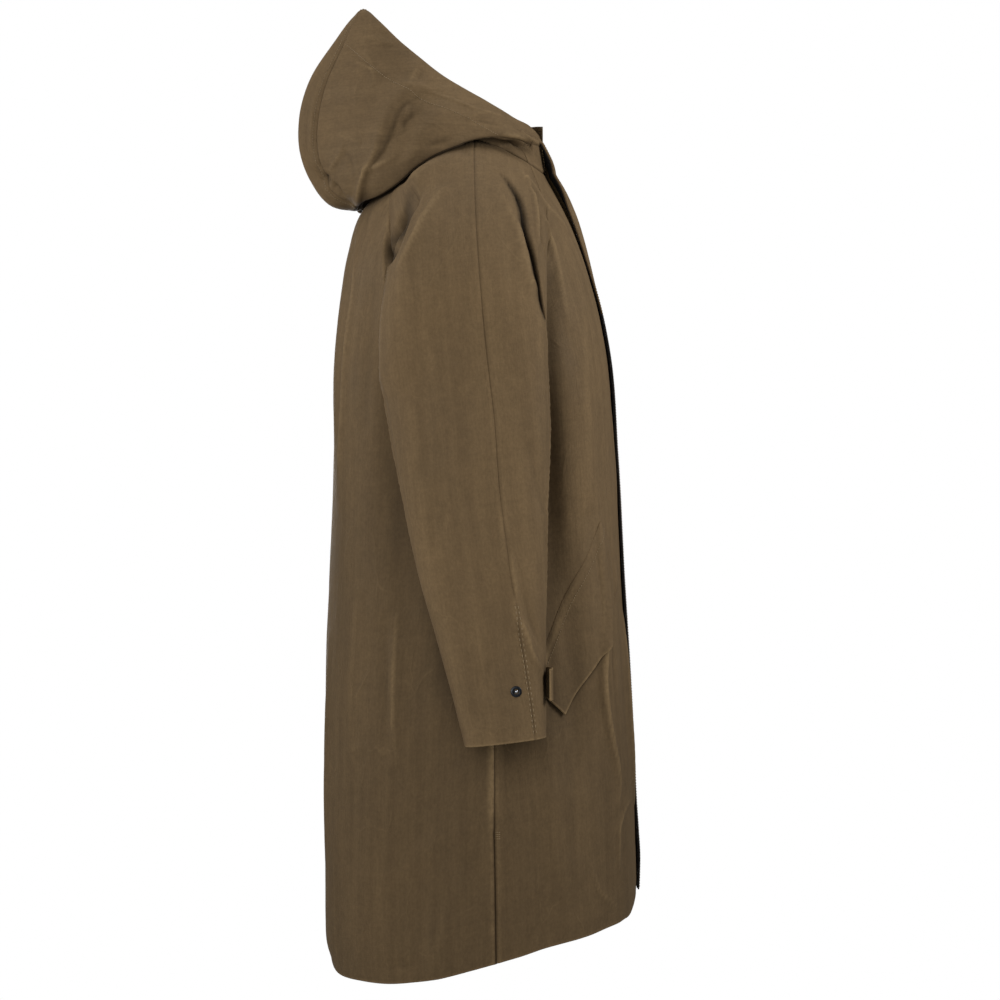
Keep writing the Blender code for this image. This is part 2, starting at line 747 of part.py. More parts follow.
def main():
    for thing in list(bpy.data.objects):
        bpy.data.objects.remove(thing, do_unlink=True)
    bpy.context.scene.collection.objects.link(bpy.data.objects.new("parka", None))
    add_paints()

    named = {RIGHT: "right", LEFT: "left"}
    panels, fronts, backs, edges, by_name = [], {}, {}, {}, {}
    for side in (RIGHT, LEFT):
        fronts[side] = mirrored(body_panel("front", side, front_columns()), side)
        backs[side] = mirrored(body_panel("back", side, back_columns()), side)
        for half, body_half in (("front", fronts[side]), ("back", backs[side])):
            grid = sleeve_panel(half, mirrored(body_half, side))
            edges[side, half] = mirrored(grid[0], side)
            name, inside = f"sleeve_{half}_{named[side]}", (side * SLEEVE[2][1], 0, SLEEVE[2][0])
            panels.append(Panel(name, mirrored(grid, side), CLOTH, "waxed_cotton", inside))
        panels.append(Panel(f"front_{named[side]}", fronts[side], CLOTH, "waxed_cotton", (0, 0, -500)))
    necks = {side: neck_half(side, fronts, backs, edges) for side in (RIGHT, LEFT)}
    spacing = hood_spacing(mirrored(necks[RIGHT], RIGHT)[:-(STRIP_COLUMNS // 2)])
    for side in (RIGHT, LEFT):
        hood = mirrored(hood_side(side, spacing), side)
        panels.append(Panel(f"hood_side_{named[side]}", hood, CLOTH, "waxed_cotton", (0, 80, 40)))
    back = np.concatenate([backs[RIGHT][:, ::-1], backs[LEFT][:, 1:]], axis=1)
    panels.append(Panel("back", back, CLOTH, "waxed_cotton", (0, 0, -500), 2))
    panels.append(Panel("hood_centre_strip", centre_strip(), CLOTH, "waxed_cotton", (0, 80, 40), 2))
    neck = whole_line(necks[RIGHT], necks[LEFT])
    roll = whole_line(roll_half(RIGHT, spacing), roll_half(LEFT, spacing))
    panels.append(Panel("hood_neck_stand", neck_stand(neck, roll), CLOTH, "waxed_cotton", (0, 0, 200), 2))

    share_seam_normals(panels)
    for panel in panels:
        panel.pull_back(SEAM_GAP if panel.name == "hood_neck_stand" else SEAM_GAP / 2)
        panel.solid()
        by_name[panel.name] = panel

    fly = Panel("front_fly", fly_panel(fronts[LEFT]), DOUBLED, "waxed_cotton", (0, 0, -500))
    fly.solid()
    under = (fly.points - (DOUBLED + SEAM_GAP) * fly.normals)[:, FACING_FROM:]
    facing = Panel("fly_facing", under, FACING, "black_facing", (0, 0, -500))
    facing.pull_back(1.0)
    facing.solid()
    for side in (RIGHT, LEFT):
        flap = pocket_flap(side, by_name[f"front_{named[side]}"])
        Panel(f"pocket_flap_{named[side]}", flap, DOUBLED, "waxed_cotton", (0, 0, -650)).solid()
        middle = (side * SLEEVE[-1][1], -30, -685)
        Panel(f"cuff_tab_{named[side]}", cuff_tab(side), DOUBLED, "waxed_cotton", middle).solid()
        cuff_stud(f"cuff_stud_{named[side]}", side, by_name[f"sleeve_back_{named[side]}"])


main()
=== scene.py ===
import itertools
import math

import bpy
import numpy as np
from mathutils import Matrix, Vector
from mathutils.bvhtree import BVHTree
from mathutils.kdtree import KDTree


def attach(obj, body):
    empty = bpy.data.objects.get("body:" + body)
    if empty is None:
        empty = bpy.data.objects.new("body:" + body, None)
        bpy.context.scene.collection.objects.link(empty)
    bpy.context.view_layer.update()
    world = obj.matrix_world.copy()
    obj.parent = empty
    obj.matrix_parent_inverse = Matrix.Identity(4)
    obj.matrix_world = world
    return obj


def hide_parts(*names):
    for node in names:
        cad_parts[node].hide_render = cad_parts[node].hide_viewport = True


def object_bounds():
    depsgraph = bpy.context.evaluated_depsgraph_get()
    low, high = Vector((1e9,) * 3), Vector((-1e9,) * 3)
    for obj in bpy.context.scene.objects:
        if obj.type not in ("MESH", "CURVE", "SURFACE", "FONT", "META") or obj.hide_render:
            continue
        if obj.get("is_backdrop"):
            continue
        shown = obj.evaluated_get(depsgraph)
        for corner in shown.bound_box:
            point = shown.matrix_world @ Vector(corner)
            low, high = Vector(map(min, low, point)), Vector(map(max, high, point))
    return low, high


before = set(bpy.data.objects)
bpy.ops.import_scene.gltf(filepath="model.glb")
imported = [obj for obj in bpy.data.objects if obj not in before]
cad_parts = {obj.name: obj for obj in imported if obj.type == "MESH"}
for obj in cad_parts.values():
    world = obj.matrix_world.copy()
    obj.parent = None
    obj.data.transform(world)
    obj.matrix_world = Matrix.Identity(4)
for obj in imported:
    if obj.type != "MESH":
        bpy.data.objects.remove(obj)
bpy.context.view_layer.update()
bpy.ops.object.select_all(action="DESELECT")
print("frame loaded:", len(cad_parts), "nodes")

# The coat's forms are worked out in mm; a finished mesh is in metres
mm = 0.001
clothWall = 1.6  # thickness of a panel in mm
sides = {"right": -1, "left": 1}  # sign of X on each side of the wearer

# Small tools for curves and grids


def hermite(s, start, leave, end, arrive):  # from start to end, with a slope at each
    return (
        (2 * s**3 - 3 * s**2 + 1) * start + (s**3 - 2 * s**2 + s) * leave
        + (3 * s**2 - 2 * s**3) * end + (s**3 - s**2) * arrive
    )


def smoothTable(rows):  # a smooth curve for each column, read by the first column
    table = np.array(rows, float)
    table = table[table[:, 0].argsort()]
    knots, values = table[:, 0], table[:, 1:]
    slopes = np.gradient(values, knots, axis=0)

    def at(where):
        where = np.clip(np.asarray(where, float), knots[0], knots[-1])
        i = np.clip(np.searchsorted(knots, where, "right") - 1, 0, len(knots) - 2)
        step = (knots[i + 1] - knots[i])[..., None]
        s = (where - knots[i])[..., None] / step
        found = hermite(s, values[i], step * slopes[i], values[i + 1], step * slopes[i + 1])
        return np.moveaxis(found, -1, 0)

    return at


def runLength(points):
    return np.concatenate([[0], np.cumsum(np.linalg.norm(np.diff(points, axis=0), axis=1))])


def readAt(at, length, points):  # points at given lengths along a line
    return np.stack([np.interp(at, length, points[:, k]) for k in range(3)], axis=-1)


def along(points, shares):  # points at shares of the length of a smooth curve
    points = np.array(points, float)
    knots = runLength(points)
    fine = smoothTable(np.column_stack([knots, points]))(np.linspace(0, knots[-1], 400)).T
    length = runLength(fine)
    return readAt(np.asarray(shares) * length[-1], length, fine)


def ease(low, high, at):  # 0 at low, 1 at high, smooth between
    s = np.clip((np.asarray(at, float) - low) / (high - low), 0, 1)
    return s * s * (3 - 2 * s)


def bell(away, width):  # 1 on a line, fading out to both sides
    return np.exp(-((away / width) ** 2))


def unit(vectors):
    return vectors / np.maximum(np.linalg.norm(vectors, axis=-1, keepdims=True), 1e-12)


def mirrored(points, side):
    return np.asarray(points) * np.array([sides[side], 1, 1])


def drift(points, size, seed):  # smooth uneven drift from -1 to 1, of a given size in mm
    cells = 24
    lattice = np.random.default_rng(seed).uniform(-1, 1, (cells, cells, cells))
    place = points / np.array(size, float) + 10 * cells
    cell = np.floor(place).astype(int)
    part = place - cell
    part = part * part * (3 - 2 * part)
    total = np.zeros(points.shape[:-1])
    for corner in itertools.product((0, 1), repeat=3):
        weight = np.prod(np.where(corner, part, 1 - part), axis=-1)
        total += lattice[tuple(np.moveaxis((cell + corner) % cells, -1, 0))] * weight
    return total


# Grid lines: even ones, and closer ones beside a seam or edge
seamLines = (1.2, 2.4, 4.0, 6.2, 9.2)  # mm from the edge


def gridSteps(count, length, atStart=False, atEnd=False):
    close = np.array(seamLines) / length
    near = np.concatenate([close if atStart else [], 1 - close if atEnd else []])
    even = np.linspace(0, 1, count + 1)
    kept = [s for s in even if s in (0, 1) or not len(near) or np.abs(near - s).min() > 0.4 / count]
    return np.array(sorted([*kept, *near]))


# Body: level rings of half width, front, back and side seam, close to the cut of the solids
coatBody = {
    "square": 2.3,  # power of the rounded sections
    "underarm": -272.0,
    "rings": (
        (10, 76, -58, 78, 6),
        (-35, 104, -84, 112, 9),
        (-82, 150, -108, 152, 11),
        (-136, 184, -130, 168, 10),
        (-200, 200, -149, 177, 8),
        (-272, 207, -163, 184, 5),
        (-400, 212, -173, 188, 0),
        (-560, 217, -181, 193, -8),
        (-720, 222, -191, 199, -15),
        (-860, 226, -198, 200, -19),
        (-1060, 230, -202, 197, -22),
    ),
    "hem": (
        (-204, -956), (-199, -968), (-193, -978), (-180, -984), (-150, -992), (-108, -1001), (-66, -1011),
        (-22, -1023), (39, -1040), (81, -1050), (132, -1055), (163, -1054), (185, -1050), (198, -1043),
    ),
    "raglanFront": ((-272, 1), (-240, 0.90), (-200, 0.745), (-136, 0.567), (-82, 0.463), (-24, 0.407)),
    "raglanBack": (
        (-272, 1), (-240, 0.92), (-200, 0.80), (-150, 0.66),
        (-121, 0.60), (-87, 0.58), (-56, 0.543), (-4, 0.52),
    ),
    "neckTop": {"front": -24.0, "back": -4.0},  # where the raglan seams meet the neck
    "neckCentre": {"front": -35.0, "back": -2.0},
    "zipGap": 1.0,
    "collarFrom": 12.0,
    "underStrip": 2 / 9,  # share of the back that lies under the hood's centre strip
    "quarterGirth": 1.35,  # of a quarter, as a share of its half width
    "foldEnds": 0.7,  # how bluntly a fold ends
    # largest folds: quarter, side, share at the top and bottom, z at both ends, width, height
    "folds": (
        ("back", "right", 0.14, 0.28, -70, -480, 24, 6),
        ("back", "left", 0.17, 0.31, -80, -440, 26, 5),
        ("front", "right", 0.41, 0.36, -430, -900, 30, 3.5),
        ("front", "left", 0.38, 0.33, -470, -880, 32, 3),
        ("front", "right", 0.68, 0.64, -300, -820, 28, -13),
        ("front", "left", 0.70, 0.66, -310, -780, 28, -11),
        ("back", "right", 0.60, 0.76, -230, -740, 27, -9),
        ("back", "left", 0.62, 0.76, -240, -720, 27, -8),
        ("back", "right", 0.62, 0.55, -620, -1100, 34, 5),
        ("back", "left", 0.55, 0.52, -600, -1100, 32, 6),
    ),
}
bodyRing = smoothTable(coatBody["rings"])
hemAt = smoothTable(coatBody["hem"])
raglanAt = {"front": smoothTable(coatBody["raglanFront"]), "back": smoothTable(coatBody["raglanBack"])}
lowerSteps = gridSteps(140, 740, atStart=True)
upperSteps = gridSteps(62, 300, atStart=True, atEnd=True)
frontSteps = gridSteps(76, 320, atEnd=True)
backSteps = np.concatenate([
    gridSteps(12, 74, atEnd=True)[:-1] * coatBody["underStrip"],
    coatBody["underStrip"] + gridSteps(52, 260, atEnd=True) * (1 - coatBody["underStrip"]),
])


def squared(ratio, power=coatBody["square"]):
    return np.sign(ratio) * np.abs(ratio) ** (2 / power)


def foldHeight(quarter, side, share, z, halfWidth):
    height = np.zeros(np.broadcast(share, z).shape)
    for atQuarter, atSide, shareTop, shareLow, top, low, width, rise in coatBody["folds"]:
        if (atQuarter, atSide) == (quarter, side):
            down = np.clip((top - z) / (top - low), 0, 1)
            across = share - shareTop - (shareLow - shareTop) * down
            across = across * coatBody["quarterGirth"] * halfWidth / width
            height = height + rise * bell(across, 1) * np.abs(np.sin(np.pi * down)) ** coatBody["foldEnds"]
    return height


def bodyPoint(quarter, side, share, z):  # X outward; share 0 is the centre line, 1 the side seam
    share, z = np.broadcast_arrays(np.asarray(share, float), np.asarray(z, float))
    halfWidth, front, back, sideY = bodyRing(z)
    end = front if quarter == "front" else back
    angle = share * np.pi / 2
    flat = np.stack([halfWidth * squared(np.sin(angle)), (end - sideY) * squared(np.cos(angle))], -1)
    flat = flat + unit(flat) * foldHeight(quarter, side, share, z, halfWidth)[..., None]
    return np.stack([flat[..., 0], sideY + flat[..., 1], z], -1)


def shareAtX(z, x):
    ratio = np.clip(np.abs(x) / bodyRing(z)[0], 0, 1)
    return np.arcsin(ratio ** (coatBody["square"] / 2)) * 2 / np.pi


def bodyHalf(quarter, side, across, fromX):  # rows from hem to neck, columns from centre to seams
    under, top = coatBody["underarm"], coatBody["neckTop"][quarter]
    rise = upperSteps[:, None]
    seamZ = under + (top - under) * rise
    centreZ = under + (coatBody["neckCentre"][quarter] - under) * rise
    z = centreZ + (seamZ - centreZ) * across**2
    start = shareAtX(z, fromX)
    share = start + (raglanAt[quarter](seamZ)[0] - start) * across
    upper = bodyPoint(quarter, side, share, z)
    hemZ = np.full(across.shape, -1000.0)
    for _ in range(4):
        hemZ = hemAt(bodyPoint(quarter, "", share[0], hemZ)[..., 1])[0]
    z = hemZ + (under - hemZ) * lowerSteps[:-1, None]
    start = shareAtX(z, fromX)
    lower = bodyPoint(quarter, side, start + (1 - start) * across, z)
    return mirrored(np.concatenate([lower, upper]), side)


# Sleeves: rings of middle, half thickness, front, back and turn of the top seam
sleeve = {
    "square": 2.7,  # the hanging sleeve is flatter than the body
    "rings": (
        (-305, 268, 52, -81, 116, 12),
        (-360, 270, 53, -83, 108, 13.2),
        (-445, 273, 52, -82, 92, 14.2),
        (-530, 276, 50, -79.5, 74, 19),
        (-625, 279, 46, -79.5, 48, 26.5),
        (-752, 281, 41, -80, 14, 41.5),
    ),
    "underarmTurn": 1.5,  # the underarm seam lies a little to the front
    "cuffRise": 11.0,
    "shoulderDrop": 0.30,
    "raglanDrop": 0.45,
    "capFullness": 1.22,
    "shoulderPoint": (80.0, 7.0, 3.0),
    "neckBow": (7.0, 0.0, 2.0),
    "raglanShare": 2 / 3,  # of the half's columns, the rest end at the neck
}
sleeveRing = smoothTable(sleeve["rings"])
sleeveTop, cuffZ = sleeve["rings"][0][0], sleeve["rings"][-1][0]
neckSteps = gridSteps(18, 84, atStart=True, atEnd=True)
capSteps = gridSteps(58, 300, atStart=True)
armSteps = gridSteps(104, 450, atEnd=True)


def sleevePoint(z, turn):  # turn 0 faces the body, 90 the front, 180 outward, 270 the back
    xMid, halfThick, front, back, _ = sleeveRing(z)
    turn = np.radians(turn)
    x = xMid - halfThick * squared(np.cos(turn), sleeve["square"])
    y = (front + back) / 2 - (back - front) / 2 * squared(np.sin(turn), sleeve["square"])
    down = np.maximum((sleeveTop - z) / (sleeveTop - cuffZ), 0)
    return np.stack([x, y, z + sleeve["cuffRise"] * (back - y) / (back - front) * down**2], -1)


def sleeveHalf(half, side, bodyGrid):
    # rows from raglan seam and neck to cuff, columns from underarm to top seam
    seam = mirrored(bodyGrid[len(lowerSteps) - 1:, -1], side)
    s = neckSteps[1:, None]
    shoulder, bow = np.array(sleeve["shoulderPoint"]), np.array(sleeve["neckBow"])
    neck = seam[-1] + (shoulder - seam[-1]) * s + bow * 4 * s * (1 - s)
    edge = np.concatenate([seam, neck])
    raglan = sleeve["raglanShare"]
    u = np.concatenate([upperSteps * raglan, raglan + (1 - raglan) * neckSteps[1:]])

    def turnAt(z):
        start = sleeve["underarmTurn"] + (360 if half == "back" else 0)
        return start + (180 - sleeveRing(z)[4] - start) * u

    ring = sleevePoint(np.full(u.shape, sleeveTop), turnAt(sleeveTop))
    reach = sleeve["capFullness"] * np.linalg.norm(ring - edge, axis=1)[:, None]
    blend = ease(raglan - 0.12, raglan + 0.05, u)
    drop = sleeve["raglanDrop"] + (sleeve["shoulderDrop"] - sleeve["raglanDrop"]) * blend
    leave = unit(np.stack([np.ones_like(drop), 0 * drop, -drop], -1)) * reach
    step = 12.0  # mm down the arm, to find its slope
    below = sleevePoint(np.full(u.shape, sleeveTop - step), turnAt(sleeveTop - step)) - ring
    arrive = unit(np.stack([0.03 + 0 * u, below[:, 1] / step * ease(0.5, 1.0, u), -1.0 + 0 * u], -1)) * reach
    cap = hermite(capSteps[:-1, None, None], edge, leave, ring, arrive)
    z = (sleeveTop + (cuffZ - sleeveTop) * armSteps)[:, None] * np.ones_like(u)
    turn = np.stack([turnAt(row[0]) for row in z])
    return mirrored(np.concatenate([cap, sleevePoint(z, turn)]), side)


# Hood, thrown back: the face opening, the roll over the shoulders and the seam of the centre strip
hood = {
    "opening": (
        (14, -80, 8), (24, -74, 17), (32, -66, 25), (56, -45, 34), (78, -5, 54),
        (87, 50, 85), (76, 95, 123), (52, 132, 162), (38, 143, 173), (33, 147, 175.5),
    ),
    "roll": (
        (17, -81, 1), (46, -68, 3), (78, -45, 6), (109, -8, 4), (130, 25, -7), (140, 50, -19),
        (140, 78, -36), (127, 102, -55), (101, 128, -69), (66, 149, -73), (33, 160, -73),
    ),
    "stripSeam": (
        (33, 147, 175.5), (33, 151.5, 175), (33, 156.7, 168), (33, 177.5, 126), (33, 198, 80), (33, 208, 37),
        (33, 209.5, 0), (33, 202, -32), (33, 186, -61), (33, 160, -73),
    ),
    "stripArch": 27.0,
    "archEnds": (0.04, 0.92),  # the part of a half wave that the arch follows down the strip
    "bulge": 18.0,
    "backEase": 1.6,  # how gently the bulge comes down to the strip
    "bulgeWay": (1.0, 0.15, 0.0),
    "sweep": 2.5,
    "leftCornerLift": (0.0, -1.0, 24.0),
    "standArch": 26.0,
    "standReach": 45.0,  # the stand arches in full where the roll lies this far out from the neck
    # folds of the side: along and down at both ends, width, height
    "folds": ((0.62, 0.25, 0.74, 0.95, 0.06, 6.0), (0.52, 0.25, 0.64, 0.80, 0.06, -6.0)),
    "facing": 53.0,  # width of the facing stitched inside the opening
}
hoodSteps = gridSteps(76, 230, atStart=True, atEnd=True)
standSteps = gridSteps(16, 90, atStart=True, atEnd=True)
underStripSteps = backSteps[backSteps <= coatBody["underStrip"] + 1e-9]
stripShares = 1 - underStripSteps[::-1] / coatBody["underStrip"]  # 0 at the strip's seam, 1 at its crown


def hoodSpacing(neckLine):  # shares along the roll that lie out from the neck seam's points
    roll = along(hood["roll"], np.linspace(0, 1, 400))
    turns = [np.unwrap(np.arctan2(np.abs(line[:, 0]), -line[:, 1])) for line in (neckLine, roll)]
    neckTurn, rollTurn = [(turn - turn[0]) / (turn[-1] - turn[0]) for turn in turns]
    return np.interp(neckTurn, rollTurn, np.linspace(0, 1, 400))


def hoodFold(r, q):
    height = np.zeros(np.broadcast(r, q).shape)
    for alongTop, downTop, alongLow, downLow, width, rise in hood["folds"]:
        runR, runQ = alongLow - alongTop, downLow - downTop
        s = np.clip(((r - alongTop) * runR + (q - downTop) * runQ) / (runR**2 + runQ**2), 0, 1)
        away = np.hypot(r - alongTop - s * runR, q - downTop - s * runQ)
        height = height + rise * bell(away, width)
    return height


def hoodSide(side, spacing):  # rows from opening to roll, columns from front corner to strip seam
    opening = np.array(hood["opening"], float)
    if side == "left":
        opening += np.outer(np.clip(1 - np.arange(len(opening)) / 3, 0, 1), hood["leftCornerLift"])
    top, low = along(opening, spacing), along(hood["roll"], spacing)
    seam = along(hood["stripSeam"], hoodSteps)
    q, r = hoodSteps[:, None], spacing[None, :]
    bow = seam - (1 - q) * seam[0] - q * seam[-1]
    full = 4 * q * (1 - q) * np.sin(np.pi * r) ** np.where(r < 0.5, 0.8, hood["backEase"])
    out = hood["bulge"] * full + hoodFold(r, q) * np.sin(np.pi * q)
    straight = (1 - q)[..., None] * top + q[..., None] * low
    swept = bow[:, None] * (r ** hood["sweep"])[..., None]
    points = straight + swept + out[..., None] * np.array(hood["bulgeWay"])
    return mirrored(points, side)


def centreStrip():  # rows from peak to roll, columns from the right seam to the left one
    seam = along(hood["stripSeam"], hoodSteps)
    run = unit(np.gradient(seam, axis=0))
    out = np.stack([0 * run[:, 0], -run[:, 2], run[:, 1]], -1)
    across = np.concatenate([stripShares - 1, 1 - stripShares[-2::-1]])
    first, last = hood["archEnds"]
    arch = hood["stripArch"] * (1 - across**2) * np.sin(np.pi * (first + (last - first) * hoodSteps))[:, None]
    flat = np.stack([
        seam[:, :1] * across,
        np.broadcast_to(seam[:, 1:2], arch.shape),
        np.broadcast_to(seam[:, 2:], arch.shape),
    ], -1)
    return flat + out[:, None] * arch[..., None]


def neckStand(neckLine, rollLine):  # rows from neck seam to roll, columns round the neck
    s = standSteps[:, None, None]
    spread = np.linalg.norm((rollLine - neckLine)[:, :2], axis=1)
    arch = hood["standArch"] * ease(0, hood["standReach"], spread)[:, None] * np.array([0, 0, 1.0])
    return neckLine + (rollLine - neckLine) * s + arch * 27 / 4 * s * (1 - s) ** 2


# A panel of cloth: its grid, the way out at each point, and heights that creases and seams add


def makePanel(name, points, inside):
    points = np.array(points, float)
    normals = unit(np.cross(np.gradient(points, axis=0), np.gradient(points, axis=1)))
    turned = ((points - np.array(inside, float)) * normals).sum() < 0
    normals = -normals if turned else normals
    height, wearAndShade = np.zeros(points.shape[:2]), np.zeros(points.shape[:2])
    return {
        "name": name, "points": points, "normals": normals, "turned": turned,
        "height": height, "wearAndShade": wearAndShade, "shift": np.zeros(points.shape),
    }


def edgeCells(shape):
    mask = np.zeros(shape, bool)
    mask[[0, -1]] = True
    mask[:, [0, -1]] = True
    return np.argwhere(mask)


sameSpot = 0.08  # mm; points of two panels this near are one point of a seam


def shareSeamNormals(panels):  # where panels meet, both sides of the seam move the same way
    cells = [(panel, tuple(cell)) for panel in panels for cell in edgeCells(panel["points"].shape[:2])]
    tree = KDTree(len(cells))
    for k, (panel, cell) in enumerate(cells):
        tree.insert(panel["points"][cell], k)
    tree.balance()
    shared = []
    for panel, cell in cells:
        near = [k for _, k, _ in tree.find_range(panel["points"][cell], sameSpot)]
        shared.append(unit(sum(cells[k][0]["normals"][cells[k][1]] for k in near)))
    for (panel, cell), normal in zip(cells, shared):
        panel["normals"][cell] = normal


def edgeDistance(panel, edge):  # mm along the cloth from one edge of the grid
    axis = 0 if edge in ("firstRow", "lastRow") else 1
    lengths = np.linalg.norm(np.diff(panel["points"], axis=axis), axis=2)
    total = np.cumsum(np.insert(lengths, 0, 0, axis=axis), axis=axis)
    if edge in ("lastRow", "lastColumn"):
        total = np.take(total, [-1], axis=axis) - total
    return total


def surface(panel):
    return panel["points"] + panel["normals"] * panel["height"][..., None] + panel["shift"]


# Seams: a narrow groove where two panels meet, with painted shade in it, and a soft welt of the allowance
# beside it
seamForm = {
    "width": 1.3,
    "weltAt": 4.0,
    "weltWidth": 2.8,
    "pucker": 0.5,  # how uneven the welt is
    "puckerSize": (9, 9, 9),
    "dark": 1.3,  # painted shade in the groove, for each mm of depth
    "darkest": 0.9,
    "rub": 0.55,
}
hemForm = {
    "depth": 1.5,
    "backDeeper": 5.0,  # the back's hem rolls in more near its middle
    "backMiddle": (120.0, 40.0),
    "reach": 15.0,
    "uneven": 1.6,
    "unevenSize": (42, 42, 42),
    "unevenReach": 26.0,
    "rub": 0.5,
    "rubWidth": 2.5,
    "cuffRub": 0.9,
    "cuffRubWidth": 2.2,
}


def pressSeam(panel, edge, welt, depth, only):
    away = edgeDistance(panel, edge)
    groove = bell(away, seamForm["width"])
    raised = bell(away - seamForm["weltAt"], seamForm["weltWidth"]) * (1 - groove)
    pucker = 1 + seamForm["pucker"] * drift(panel["points"], seamForm["puckerSize"], 5)
    panel["height"] += only * (welt * raised * pucker - depth * groove)
    # painted shade in the groove, and a rubbed pale welt beside it
    dark = min(seamForm["darkest"], seamForm["dark"] * depth)
    panel["wearAndShade"] += only * (seamForm["rub"] * raised * pucker * min(welt, 1.0) - dark * groove)


def turnHem(panel, edge, depth):  # the hem rolls in a little, and its edge is uneven and rubbed
    away = edgeDistance(panel, edge)
    uneven = drift(panel["points"], hemForm["unevenSize"], 21)
    panel["height"] -= depth * bell(away, hemForm["reach"])
    panel["shift"][..., 2] += hemForm["uneven"] * uneven * bell(away, hemForm["unevenReach"])
    panel["wearAndShade"] += hemForm["rub"] * bell(away, hemForm["rubWidth"])
